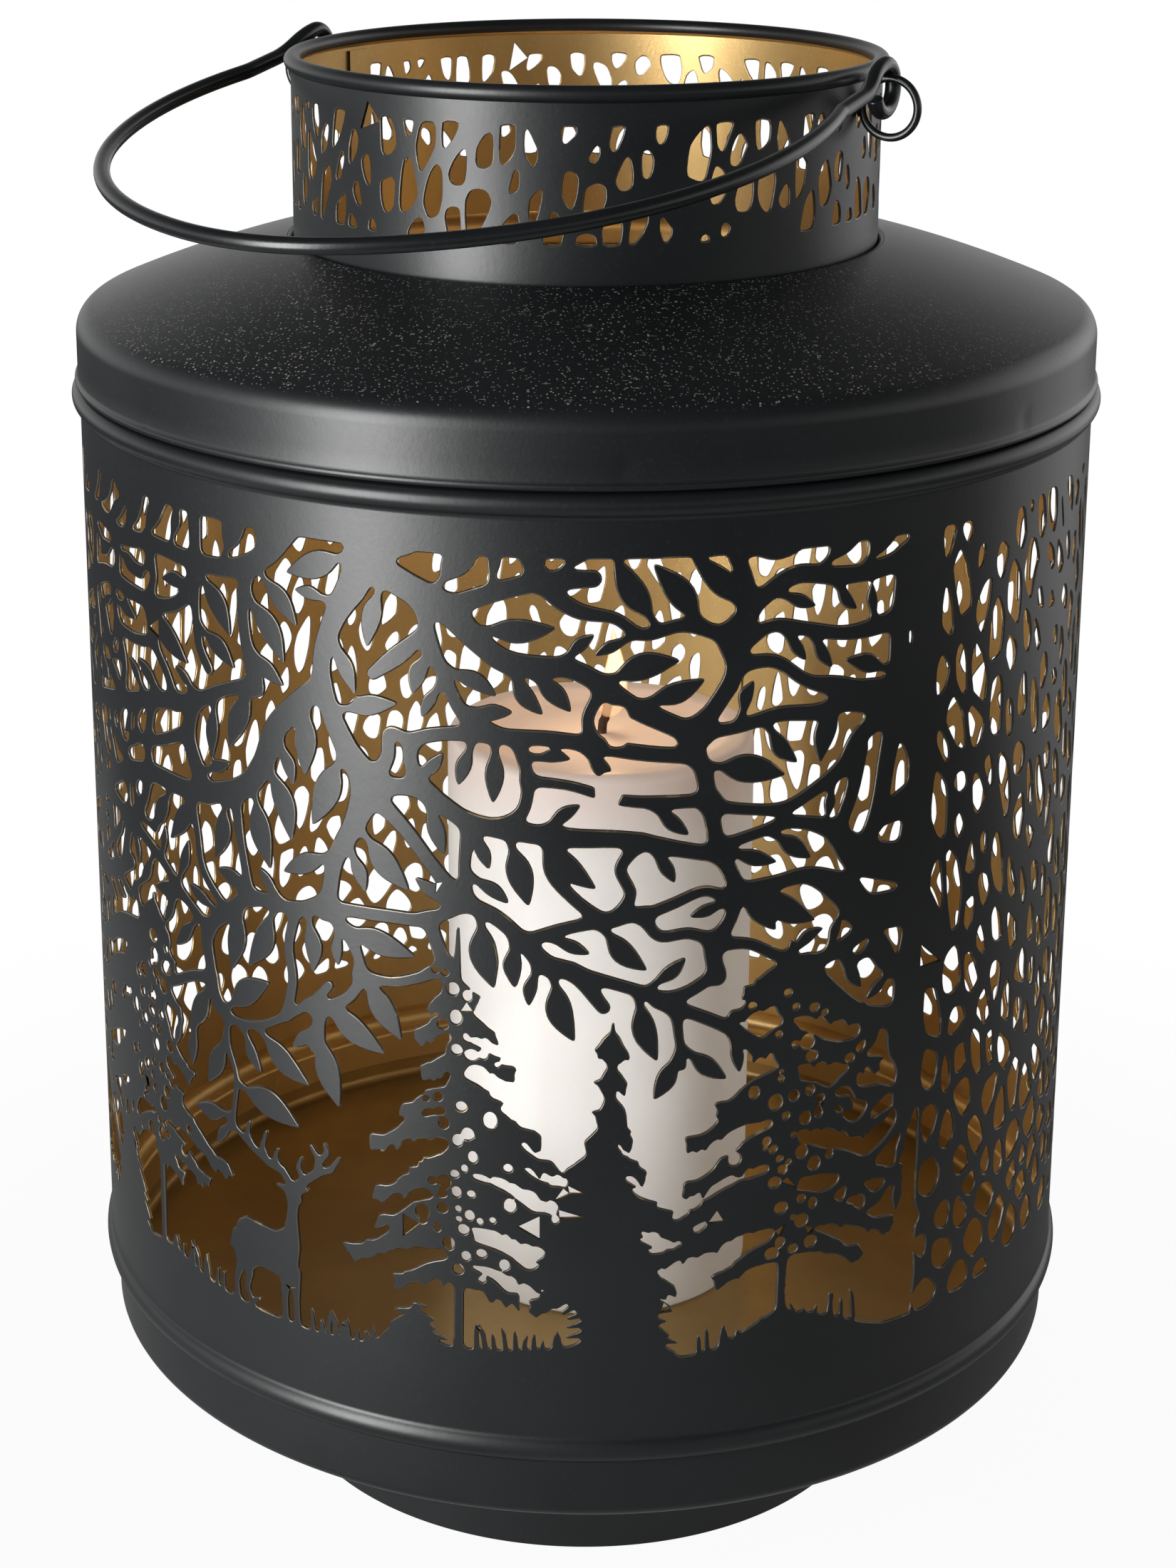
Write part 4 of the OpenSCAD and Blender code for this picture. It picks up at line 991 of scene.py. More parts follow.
def pierced_wall(shape, cut, radius, low, high):
    """The rolled wall of a flat pattern between two heights: two skins and the edge of every opening."""
    loops = outlines(cut)
    lengths = [len(loop) for loop in loops]
    starts = np.cumsum([0] + lengths[:-1])
    ahead = np.concatenate([joined(*pair)[:, 1] for pair in zip(lengths, starts)])
    rim = np.vstack(loops)
    slope_z, slope_x = np.gradient(cut.away)
    away = np.column_stack([cut.read(rim, slope_x), cut.read(rim, slope_z)])
    away /= np.maximum(np.hypot(*away.T), 1e-9)[:, None]
    depth = np.clip(-cut.read(rim - away * BEVEL * 1.6) / 1.6, 0.03, BEVEL)
    inset = rim - away * depth[:, None]
    # frame of the wall, with a point at every facet of the revolved ends
    across = cut.x[0] + np.arange(STEPS + 1) * (2 * math.pi * radius / STEPS)
    sides = np.linspace(low, high, max(2, int((high - low) / 3)))[1:-1]
    border = np.vstack([np.column_stack([across, np.full(STEPS + 1, low)]),
                        np.column_stack([np.full(len(sides), across[-1]), sides]),
                        np.column_stack([across[::-1], np.full(STEPS + 1, high)]),
                        np.column_stack([np.full(len(sides), across[0]), sides[::-1]])])
    rows = np.arange(low + LATTICE / 2, high - LATTICE / 3, LATTICE * 0.87)
    columns = np.arange(across[0] + LATTICE / 2, across[-1] - LATTICE, LATTICE)
    lattice = np.array([(x + (row % 2) * LATTICE / 2, z) for row, z in enumerate(rows) for x in columns])
    inside = (lattice[:, 1] < cut.z[0] + 1) | (lattice[:, 1] > cut.z[-1] - 1) | (cut.read(lattice) < -0.6)
    flat = np.vstack([inset, border, lattice[inside]])
    count = len(inset)
    edges = np.vstack([np.column_stack([np.arange(count), ahead]), joined(len(border), count)])
    points, _, faces, origin, _, _ = delaunay_2d_cdt([Vector(p) for p in flat], edges.tolist(), [], 0, 1e-5)
    points = np.array([tuple(p) for p in points])
    faces = np.array([face for face in faces if len(face) == 3])
    first = np.array([numbers[0] if numbers else -1 for numbers in origin])
    faces = faces[metal_faces(cut, points, faces, first, ahead, count)]
    angle = points[:, 0] / radius
    radial = np.stack([np.sin(angle), -np.cos(angle), 0 * angle], -1)
    shape.add(around(radius + 0 * angle, points[:, 1], angle), radial, faces, BLACK)
    shape.add(around(radius - SHEET + 0 * angle, points[:, 1], angle), -radial, faces[:, ::-1], GOLD)
    # edge of every opening: bevel, wall, bevel
    angle, at_inset = rim[:, 0] / radius, inset[:, 0] / radius
    outward = np.stack([np.sin(angle), -np.cos(angle), 0 * angle], -1)
    along = np.stack([np.cos(angle), np.sin(angle), 0 * angle], -1)
    facing = along * away[:, :1] + np.array([0, 0, 1]) * away[:, 1:]
    rings = [around(radius + 0 * angle, inset[:, 1], at_inset),
             around(radius - BEVEL_OUT + 0 * angle, rim[:, 1], angle),
             around(radius - SHEET + BEVEL_IN + 0 * angle, rim[:, 1], angle),
             around(radius - SHEET + 0 * angle, inset[:, 1], at_inset)]
    turned = [outward, facing, facing, -outward]
    number = np.arange(count)
    faces = np.column_stack([number, number + count, ahead + count, ahead])
    for n, slot in enumerate((EDGE, EDGE, GOLD)):
        shape.add(np.vstack(rings[n:n + 2]), np.vstack(turned[n:n + 2]), faces, slot)


def metal_faces(cut, points, faces, first, ahead, count):
    """Which triangles of the filled frame are metal: by the outline beside them, else by their middle."""
    number = first[faces]
    sure = np.zeros(len(faces), int)
    for a, b in ((0, 1), (1, 2), (2, 0)):
        p, q = number[:, a], number[:, b]
        both = (p >= 0) & (q >= 0) & (p < count) & (q < count)
        forward = both & (ahead[np.clip(p, 0, count - 1)] == q)
        backward = both & (ahead[np.clip(q, 0, count - 1)] == p)
        sure += forward.astype(int) - backward.astype(int)
    middle = points[faces].mean(1)
    outside = (middle[:, 1] < cut.z[0] + 0.5) | (middle[:, 1] > cut.z[-1] - 0.5)
    by_place = outside | (cut.read(middle) < -0.1)
    return np.where(sure == 0, by_place, sure > 0)


# ---------------------------------------------------------------------------------------------
# Materials
# ---------------------------------------------------------------------------------------------
class Value:
    """A number, colour or vector that a material's nodes work out; + - * / act on numbers."""

    def __init__(self, nodes, socket):
        self.nodes, self.socket = nodes, socket

    def __add__(self, other):
        return self.nodes.math("ADD", self, other)

    def __sub__(self, other):
        return self.nodes.math("SUBTRACT", self, other)

    def __mul__(self, other):
        return self.nodes.math("MULTIPLY", self, other)

    def __truediv__(self, other):
        return self.nodes.math("DIVIDE", self, other)

    def __rsub__(self, other):
        return self.nodes.math("SUBTRACT", other, self)

    def __neg__(self):
        return self.nodes.math("MULTIPLY", self, -1)

    __radd__ = __add__
    __rmul__ = __mul__


class Nodes:
    """The nodes of one material, or of the world, as expressions."""

    def __init__(self, name, made=None):
        self.made = made or bpy.data.materials.new(name)
        self.made.use_nodes = True
        self.tree = self.made.node_tree
        self.tree.nodes.clear()

    def set(self, socket, value):
        if isinstance(value, Value):
            self.tree.links.new(value.socket, socket)
        elif value is not None:
            many = hasattr(socket.default_value, "__len__")
            if many and len(value) == 3 and len(socket.default_value) == 4:
                value = (*value, 1)
            socket.default_value = value

    def node(self, kind, settings=None, output=0, **inputs):
        """Any node: its type, its settings, and its inputs by name or as in_0, in_1."""
        node = self.tree.nodes.new(kind)
        for name, value in (settings or {}).items():
            setattr(node, name, value)
        for name, value in inputs.items():
            key = int(name[3:]) if name.startswith("in_") else name.replace("_", " ")
            self.set(node.inputs[key], value)
        return Value(self, node.outputs[output]) if len(node.outputs) else None

    def math(self, operation, a, b=None):
        return self.node("ShaderNodeMath", {"operation": operation}, in_0=a, in_1=b)

    def mix(self, factor, a, b):
        """Colour a where the factor is 0, b where it is 1."""
        return self.node("ShaderNodeMix", {"data_type": "RGBA"}, 2, in_0=factor, in_6=a, in_7=b)

    def limits(self, value, low, high, to_low=0.0, to_high=1.0):
        """A value carried from one range to another, clamped."""
        return self.node("ShaderNodeMapRange", {"interpolation_type": "SMOOTHSTEP"}, in_0=value, in_1=low,
                         in_2=high, in_3=to_low, in_4=to_high)

    def place(self, stretch=(1, 1, 1)):
        """The place on the piece in metres, stretched."""
        place = self.node("ShaderNodeTexCoord", output=3)
        return self.node("ShaderNodeVectorMath", {"operation": "MULTIPLY"}, in_0=place, in_1=stretch)

    def noise(self, scale, detail=2.0, stretch=(1, 1, 1)):
        """Soft clouds between 0 and 1; scale counts them in a metre."""
        return self.node("ShaderNodeTexNoise", Vector=self.place(stretch), Scale=scale, Detail=detail)

    def specks(self, scale, size, stretch=(1, 1, 1)):
        """1 in small round or drawn-out spots scattered over the piece, 0 between them."""
        distance = self.node("ShaderNodeTexVoronoi", {"feature": "F1"}, Vector=self.place(stretch),
                             Scale=scale, Randomness=1.0)
        return self.limits(distance, size, size * 0.5)

    def axis(self, source, name):
        """The X, Y or Z of a place or direction."""
        return self.node("ShaderNodeSeparateXYZ", in_0=source, output="XYZ".index(name))

    def bump(self, height, strength, distance):
        return self.node("ShaderNodeBump", Height=height, Strength=strength, Distance=distance)

    def seen_directly(self):
        """Two values: 1 for rays from the camera, and 1 for rays from a reflection or through glass."""
        path = self.node("ShaderNodeLightPath").socket.node
        camera, glossy, through = (Value(self, path.outputs["Is %s Ray" % kind])
                                   for kind in ("Camera", "Glossy", "Transmission"))
        return camera, self.math("MAXIMUM", glossy, through)

    def surface(self, **inputs):
        """A Principled shader."""
        return self.node("ShaderNodeBsdfPrincipled", **inputs)

    def finish(self, shader=None, kind="ShaderNodeOutputMaterial", **inputs):
        """Puts a shader on the output; without one, a Principled shader with these inputs."""
        self.node(kind, Surface=shader or self.surface(**inputs))
        return self.made


def black_coat(name, dust=0.0, smooth=0.0):
    """Satin black powder coat: fine orange peel, small changes of gloss, dust where it faces up.

    Scales count in a metre: the grain is under a millimetre, the peel about two, the clouds about 40.
    """
    nodes = Nodes(name)
    cloud = nodes.noise(22, 3)
    grain = nodes.noise(1500, 2)
    peel = nodes.noise(420, 2)
    colour = nodes.mix(nodes.limits(cloud, 0.35, 0.65), (0.0045, 0.0053, 0.0059), (0.0066, 0.0076, 0.0084))
    colour = nodes.mix(nodes.limits(grain, 0.62, 0.75) * 0.3, colour, (0.02, 0.02, 0.021))
    rough = 0.33 - smooth + 0.05 * cloud + 0.05 * grain
    if dust:
        up = nodes.limits(nodes.axis(nodes.node("ShaderNodeNewGeometry", output=1), "Z"), 0.55, 0.95)
        patch = nodes.limits(nodes.noise(38, 4), 0.40, 0.66)
        fine = nodes.specks(760, 0.21) * (0.35 + patch) + nodes.specks(1150, 0.24) * 0.7
        fine = fine + nodes.specks(330, 0.07)
        fibres = nodes.specks(950, 0.13, (0.12, 1, 1)) + nodes.specks(1050, 0.13, (1, 0.12, 1))
        veil = nodes.limits(nodes.noise(900, 3), 0.5, 0.78) * patch * 0.12
        dusty = nodes.limits(up * dust * (fine + 0.6 * fibres + veil), 0.0, 1.0)
        colour = nodes.mix(dusty * 0.55, colour, (0.36, 0.34, 0.31))
        rough = rough + 0.2 * dusty
    height = 0.55 * peel + 0.45 * grain
    return nodes.finish(Base_Color=colour, Roughness=rough, Metallic=0.0, IOR=1.5, Specular_IOR_Level=0.5,
                        Normal=nodes.bump(height, 0.22, 0.12 * MM))


def gold_coat(name, shade=1.0):
    """Satin gold paint inside: metallic, uneven where the spray was thin; a shade under 1 darkens it all, as
    painted shade.
    """
    nodes = Nodes(name)
    cloud = nodes.noise(16, 4)
    grain = nodes.noise(1700, 2)
    streak = nodes.noise(90, 3, (1, 1, 0.12))
    thin, thick, glint = ([shade * part for part in tone]
                          for tone in ((0.54, 0.365, 0.145), (0.68, 0.475, 0.205), (0.80, 0.60, 0.30)))
    colour = nodes.mix(nodes.limits(cloud + 0.4 * streak, 0.5, 0.9), thin, thick)
    colour = nodes.mix(nodes.limits(grain, 0.58, 0.75) * 0.4, colour, glint)
    rough = 0.34 + 0.08 * cloud + 0.06 * grain
    return nodes.finish(Base_Color=colour, Roughness=rough, Metallic=0.9,
                        Normal=nodes.bump(grain, 0.25, 0.1 * MM))


def cut_edge(name):
    """The cut edge of the sheet under a thinner coat: a little glossier, worn in places."""
    nodes = Nodes(name)
    wear = nodes.limits(nodes.noise(160, 4), 0.56, 0.72)
    colour = nodes.mix(wear * 0.6, (0.075, 0.066, 0.054), (0.36, 0.27, 0.15))
    return nodes.finish(Base_Color=colour, Roughness=0.24 + 0.12 * wear, Metallic=0.5,
                        Normal=nodes.bump(nodes.noise(900, 2), 0.2, 0.1 * MM))


WAX_PAINTED_GLOW_HEIGHTS = (0.132, 0.152)      # heights in metres between which the wax turns warmer and greyer: painted flame light and shade on the candle's top
WICK_CHARS = (0.145, 0.150)     # heights in metres between which the wick turns black


def wax(name):
    """Ivory wax that lets a little light in, with a painted glow: whiter down the side, warmer and greyer
    towards the top as painted flame light and shade.
    """
    nodes = Nodes(name)
    height = nodes.axis(nodes.place(), "Z")
    cloud = nodes.noise(35, 4)
    rise = nodes.limits(height + 0.004 * cloud, *WAX_PAINTED_GLOW_HEIGHTS)
    # painted flame light and shade: the colour turns warmer and greyer towards the top
    colour = nodes.mix(rise, (0.90, 0.895, 0.88), (0.76, 0.67, 0.63))
    colour = nodes.mix(nodes.limits(cloud, 0.4, 0.7) * 0.12, colour, (0.98, 0.95, 0.90))
    rough = 0.38 + 0.12 * nodes.noise(120, 3)
    # painted glow: an emission that brightens the wax, warmer towards the top
    painted_glow = nodes.mix(rise, (1.0, 0.97, 0.94), (1.0, 0.80, 0.70))
    return nodes.finish(Base_Color=colour, Roughness=rough, Subsurface_Weight=0.35,
                        Subsurface_Radius=(1.0, 0.72, 0.5), Subsurface_Scale=8 * MM, Specular_IOR_Level=0.4,
                        Coat_Weight=0.08, Coat_Roughness=0.25, Emission_Color=painted_glow,
                        Emission_Strength=0.10, Normal=nodes.bump(nodes.noise(240, 3), 0.12, 0.3 * MM))


def charred_cotton(name):
    """The wick: brown cotton below, charred black where it burns."""
    nodes = Nodes(name)
    fibre = nodes.noise(1400, 3, (1, 1, 0.4))
    height = nodes.axis(nodes.place(), "Z")
    rise = nodes.limits(height, *WICK_CHARS)
    colour = nodes.mix(rise, (0.32, 0.20, 0.12), (0.045, 0.02, 0.014))
    colour = nodes.mix(nodes.limits(fibre, 0.5, 0.7) * 0.5, colour, (0.16, 0.07, 0.04))
    return nodes.finish(Base_Color=colour, Roughness=0.8 + 0.15 * fibre,
                        Normal=nodes.bump(fibre, 0.8, 0.4 * MM))


def flame_light(name):
    """Flame: peach and half clear round the wick, pale yellow in the middle, orange at its edge and tip."""
    nodes = Nodes(name)
    rim = nodes.node("ShaderNodeLayerWeight", None, 1, Blend=0.5)
    height = nodes.axis(nodes.place(), "Z")
    low = nodes.limits(height, (FLAME_LOW + 4) * MM, (FLAME_LOW + 10) * MM)
    tip = nodes.limits(height, (FLAME_HIGH - 9) * MM, FLAME_HIGH * MM)
    core = nodes.mix(low, (1.0, 0.55, 0.28), (1.0, 0.86, 0.55))
    colour = nodes.mix(nodes.limits(rim * 0.9 + 0.35 * tip, 0.30, 0.85), core, (1.0, 0.36, 0.07))
    clear = nodes.limits(rim, 1.0, 0.30) * (0.42 + 0.56 * low)
    return nodes.finish(Base_Color=(0, 0, 0), Roughness=1.0, Specular_IOR_Level=0.0, Emission_Color=colour,
                        Emission_Strength=1.4, Alpha=clear)


def pale_floor(name, colour):
    """White paper: lit and shadowed near the lantern, plain white further off.

    Near the lantern its reflection in the coat is weaker, as the paper lies in the lantern's own shadow.
    Right round the foot it glows a little for reflections only: a painted pool of light that the foot
    reflects.
    """
    nodes = Nodes(name)
    camera, reflected = nodes.seen_directly()
    away = nodes.node("ShaderNodeVectorMath", {"operation": "LENGTH"}, 1, in_0=nodes.place())
    # the first term is a painted pool of light round the foot, seen only in reflections
    mirrored = nodes.limits(away, 0.15, 0.08, 0.0, 0.26) + nodes.limits(away, 0.40, 0.55, 0.0, 1.0)
    share = camera * nodes.limits(away, 0.10, 0.34, 0.95, 1.0) + reflected * mirrored
    paper = nodes.surface(Base_Color=colour, Roughness=0.9, Specular_IOR_Level=0.0)
    glow = nodes.node("ShaderNodeEmission", Color=(1, 1, 1), Strength=1.0)
    return nodes.finish(nodes.node("ShaderNodeMixShader", in_0=share, in_1=paper, in_2=glow))


AMBIENT = 0.36                        # strength of the world's even light
PAN_PAINTED_SHADE = 0.66                      # the pan's gold is darker than the wall's: painted shade for the lantern's shaded floor
FLAME_LOW, FLAME_HIGH = CANDLE_HIGH[2] + 1.4, CANDLE_HIGH[2] + 21.0
coat = black_coat("black powder coat")
dusty_coat = black_coat("black powder coat with dust", dust=1.0)
wire_coat = black_coat("black powder coat on wire", smooth=0.08)
gold = gold_coat("gold lining")
edge = cut_edge("cut edge")
sheet_materials = [coat, gold, edge]


# ---------------------------------------------------------------------------------------------
# Pieces
# ---------------------------------------------------------------------------------------------
def bead_run(centre, radius, low_r, high_r, low_fillet, high_fillet):
    """A half-round bead between a wall below at low_r and a wall above at high_r."""
    low_dx = low_r + low_fillet - centre[0]
    low_dz = math.sqrt((radius + low_fillet) ** 2 - low_dx ** 2)
    high_dx = high_r + high_fillet - centre[0]
    high_dz = math.sqrt((radius + high_fillet) ** 2 - high_dx ** 2)
    low_turn = math.degrees(math.atan2(-low_dz, low_dx))
    high_turn = math.degrees(math.atan2(high_dz, high_dx))
    below, above = (low_r + low_fillet, centre[1] - low_dz), (high_r + high_fillet, centre[1] + high_dz)
    return np.vstack([arc(below, low_fillet, 180, 180 + low_turn, 6),
                      arc(centre, radius, low_turn, high_turn, 20)[1:],
                      arc(above, high_fillet, 180 + high_turn, 180, 6)[1:]])


def make_foot_ring():
    """The rolled ring that the lantern stands on, and its flange under the pan."""
    shape = Shape()
    inside, lowest, flange = FOOT_R - FOOT_SHEET, FOOT_R - FOOT_SHEET * 0.7, FOOT_R - FOOT_FLANGE
    under = FOOT_H - FOOT_SHEET
    shape.revolve(dense(rounded([(lowest, 0.0), (FOOT_R, 0.0, 0.3), (FOOT_R, FOOT_H)])), BLACK)
    shape.revolve(dense(rounded([(flange, under), (inside, under, 1.2), (inside, 0.3), (inside, 0.0, 0.2),
                                 (lowest, 0.0)])), BLACK)
    shape.revolve([(FOOT_R, FOOT_H), (flange, FOOT_H)], BLACK)
    shape.revolve([(flange, FOOT_H), (flange, under)], BLACK)
    return shape.make("foot_ring_rolled", [coat])


def make_base_pan():
    """The shallow pressed pan."""
    shape = Shape()
    outer = dense(rounded([(0.01, FOOT_H), (PAN_R, FOOT_H, PAN_CORNER), (PAN_R, PAN_TOP)]), 4)
    sheet_ring(shape, outer, SHEET)
    # its lining is a darker copy of the gold: painted shade on the pan's floor
    return shape.make("base_pan_pressed", [coat, gold_coat("gold lining of the pan with painted shade", PAN_PAINTED_SHADE), edge])


def make_drum():
    """The pierced wall, with a bead and a neck at each end and the lapped seam at the back."""
    shape = Shape()
    low, high = LOW_BEAD_Z + DRUM_PIERCED, TOP_BEAD_Z - DRUM_PIERCED
    pierced_wall(shape, drum_pattern(), DRUM_R, low, high)
    at_neck, at_wall = BEAD_FILLETS
    bottom = bead_run((LOW_NECK_R + SHEET / 8, LOW_BEAD_Z), LOW_BEAD_R, LOW_NECK_R, DRUM_R, at_neck, at_wall)
    top = bead_run((DRUM_R - SHEET, TOP_BEAD_Z), TOP_BEAD_R, DRUM_R, TOP_NECK_R, at_wall, at_neck)
    for run, free_end in (([[(LOW_NECK_R, NECK_LOW)], bottom, [(DRUM_R, low)]], 0),
                          ([[(DRUM_R, high)], top, [(TOP_NECK_R, NECK_TOP)]], -1)):
        outer = dense(np.vstack(run))
        inner = offset(outer, SHEET)
        shape.revolve(outer, BLACK)
        shape.revolve(inner[::-1], GOLD)
        ends = [inner[free_end], outer[free_end]]
        shape.revolve(ends if free_end == 0 else ends[::-1], EDGE)
    width, off_low, off_high = DRUM_LAP
    add_lap(shape, DRUM_R, SEAM_AZ, width, LOW_BEAD_Z + off_low, TOP_BEAD_Z - off_high)
    return shape.make("drum_pierced", sheet_materials)


def add_lap(shape, radius, az, width, low, high):
    """The lapped end of the sheet inside its own wall, with its free upright edge."""
    half = math.degrees(width / radius) / 2
    angle = np.radians(np.linspace(az - half, az + half, 9))
    z = np.linspace(low, high, 30)[:, None]
    inner = radius - 2 * SHEET
    skin = around(inner + 0 * z + 0 * angle, z, angle + 0 * z)
    shape.grid(skin[:, ::-1], GOLD)
    for end, turn in ((0, 1), (-1, -1)):
        upright = around(radius - SHEET + 0 * z[:, 0], z[:, 0], angle[end])
        shape.grid(np.stack([skin[:, end], upright], 1)[:, ::turn], EDGE)
    for end, turn in ((0, 1), (-1, -1)):
        level = around(radius - SHEET + 0 * angle, z[end, 0], angle)
        shape.grid(np.stack([skin[end], level], 0)[::-turn], EDGE)


def dome_circle():
    """Centre and radius of the circle that the dome's section follows, and of its shoulder."""
    run, chord = LID_R - THROAT_R, math.hypot(LID_R - THROAT_R, DOME_RISE)
    radius = ((chord / 2) ** 2 + DOME_BULGE ** 2) / (2 * DOME_BULGE)
    out = np.array([DOME_RISE, run]) / chord
    centre = np.array([THROAT_R + run / 2, CORNER_Z + DOME_RISE / 2]) - (radius - DOME_BULGE) * out
    shoulder_r = LID_R - SHOULDER_R
    climb = math.sqrt((radius - SHOULDER_R) ** 2 - (shoulder_r - centre[0]) ** 2)
    return centre, radius, np.array([shoulder_r, centre[1] + climb])


# Stakes that hold the lid: azimuths and depths of the small dents in its skirt, their half width and half
# height, and the height at which they are
LID_STAKES = [(4, 0.5), (-52, 0.4), (52, 0.45), (100, 0.5), (148, 0.5), (196, 0.5), (244, 0.5)]
STAKE_WIDTH, STAKE_HEIGHT = 1.3, 1.2
STAKE_Z = HEM_Z + 3.4


def staked(r, z, az):
    """The lid's skirt with the stakes' small round dents pressed into it."""
    for at, depth in LID_STAKES:
        turn = (az - at + 180) % 360 - 180
        away = (turn * MM_PER_DEG / STAKE_WIDTH) ** 2 + ((z - STAKE_Z) / STAKE_HEIGHT) ** 2
        r = r - depth * np.exp(-away)
    return r, z


def make_lid():
    """The spun lid: rolled hem, skirt, shoulder, dome and the flange round the collar."""
    shape = Shape()
    centre, radius, shoulder = dome_circle()
    hem = (LID_R - SHEET / 3, HEM_Z + HEM_R)
    meet = math.degrees(math.atan2(shoulder[1] - centre[1], shoulder[0] - centre[0]))
    top = math.degrees(math.acos((THROAT_R - centre[0]) / radius))
    dome = arc(centre, radius, meet, top, 40)
    flange = rounded([dome[-2], (THROAT_R, dome[-1][1], 0.9), (THROAT_R, THROAT_Z - THROAT_FLANGE)])
    outer = np.vstack([arc(hem, HEM_R, -150, 50, 12), [(LID_R, HEM_Z + 2 * HEM_R + 0.5)],
                       arc(shoulder, SHOULDER_R, 0, meet, 14), dome[1:-1], flange[1:]])
    sheet_ring(shape, dense(outer), SHEET, staked)
    return shape.make("lid_domed", [dusty_coat, gold, edge])


def make_collar():
    """The pierced throat tube: crimped lip below, rolled rim above, lapped seam inside."""
    shape = Shape()
    inside = COLLAR_R - SHEET
    low, high = THROAT_Z + COLLAR_PIERCED[0], RIM_Z - COLLAR_PIERCED[1]
    pierced_wall(shape, collar_pattern(), COLLAR_R, low, high)
    foot, lip = THROAT_Z - THROAT_FLANGE, COLLAR_R + CRIMP
    outer = dense(rounded([(lip, foot - SHEET * 0.02), (COLLAR_R, foot, 0.3), (COLLAR_R, low)]))
    inner = dense(rounded([(inside, low), (inside, foot - SHEET, 0.9), (lip, foot - SHEET)]))
    shape.revolve(outer, BLACK)
    shape.revolve(inner, GOLD)
    shape.revolve([inner[-1], outer[0]], EDGE)
    centre = (COLLAR_R - SHEET / 2, RIM_Z)
    turn = math.degrees(math.asin(SHEET / 2 / RIM_R))
    rim_foot = RIM_Z - RIM_R * math.cos(math.radians(turn))
    shape.revolve([(COLLAR_R, high), (COLLAR_R, rim_foot)], BLACK)
    shape.revolve(arc(centre, RIM_R, -90 + turn, 215, 30), BLACK)
    shape.revolve(arc(centre, RIM_R, 215, 270 - turn, 8), GOLD)
    shape.revolve([(inside, rim_foot), (inside, high)], GOLD)
    width, off_low, off_high = COLLAR_LAP
    add_lap(shape, COLLAR_R, COLLAR_SEAM_AZ, width, THROAT_Z + off_low, RIM_Z - off_high)
    return shape.make("collar_pierced", sheet_materials)


# Rings of a tube's rounded end: radius and height as shares of the tube's radius, outward part of the normal
TUBE_END = [(1.0, 0.0, 0.9), (0.94, 0.10, 0.6), (0.8, 0.16, 0.2), (0.0, 0.18, 0.0)]


def add_tube(shape, path, radius, slot, sides, across):
    """A closed tube with slightly rounded ends round a path; its radius may change along it."""
    path = np.asarray(path, float)
    forward = np.gradient(path, axis=0)
    forward /= np.linalg.norm(forward, axis=1)[:, None]
    side = np.asarray(across, float)
    rings, out = [], []
    angle = np.arange(sides) * 2 * math.pi / sides
    for at, way, r in zip(path, forward, np.broadcast_to(radius, len(path))):
        side = side - (side @ way) * way
        side /= np.linalg.norm(side)
        direction = np.cos(angle)[:, None] * side + np.sin(angle)[:, None] * np.cross(way, side)
        rings.append(at + r * direction)
        out.append(direction)
    shape.grid(np.array(rings), slot, np.array(out), (False, True))
    share, push, lean = np.array(TUBE_END).T[:, :, None, None]
    for end, way in ((0, -forward[0]), (-1, forward[-1])):
        centre = rings[end].mean(0)
        reach = rings[end] - centre
        size = np.linalg.norm(reach[0])
        cap = centre + reach[None] * share + way * (push * size)
        normals = reach[None] / size * lean + way * (1 - lean)
        if end == 0:
            cap, normals = cap[:, ::-1], normals[:, ::-1]
        shape.grid(cap, slot, normals, (False, True))


EAR_WIRE = 1.55
EAR_OUTER = 12.55                             # diameter over the ring
EAR_R = (EAR_OUTER - EAR_WIRE) / 2
EAR_AT = COLLAR_R + EAR_R + EAR_WIRE / 2      # distance of its middle from the lantern's axis
EAR_Z = RIM_Z - 5.8
EAR_STEPS, EAR_SIDES = 72, 18
WELD = (0.95, 2.1, 0.62)                      # half width, half height and depth of the bead of weld
HINGE_AZ = 62.0                               # azimuth of the right ear ring
BAIL_WIRE = 3.0
BAIL_LEAN = -8.9                              # degrees from level, as it lies at rest
HOOK_TURN = 255                               # degrees that each hook is bent round


def make_ear_ring(name, az):
    """A closed wire ring with the bead of weld that holds it to the collar."""
    shape = Shape()
    turn = math.radians(az)
    out, up = np.array([math.sin(turn), -math.cos(turn), 0]), np.array([0, 0, 1])
    side = np.cross(out, up)
    centre = EAR_AT * out + EAR_Z * up
    angle = np.arange(EAR_STEPS) * 2 * math.pi / EAR_STEPS
    away = np.cos(angle)[:, None] * out + np.sin(angle)[:, None] * up
    around_wire = (np.arange(EAR_SIDES) * 2 * math.pi / EAR_SIDES)[None, :, None]
    direction = np.cos(around_wire) * away[:, None] + np.sin(around_wire) * side
    points = centre + EAR_R * away[:, None] + EAR_WIRE / 2 * direction
    shape.grid(points, BLACK, direction, (True, True))
    spread = np.radians(np.linspace(0, 180, 9))[:, None, None]
    round_it = np.radians(np.arange(16) * 22.5)[None, :, None]
    weld = (np.cos(round_it) * np.sin(spread) * side * WELD[0]
            + np.sin(round_it) * np.sin(spread) * up * WELD[1] - np.cos(spread) * out * WELD[2])
    shape.grid(centre - out * (EAR_R + EAR_WIRE / 2 - 0.15) + weld[::-1], BLACK, None, (False, True))
    return shape.make(name, [wire_coat])


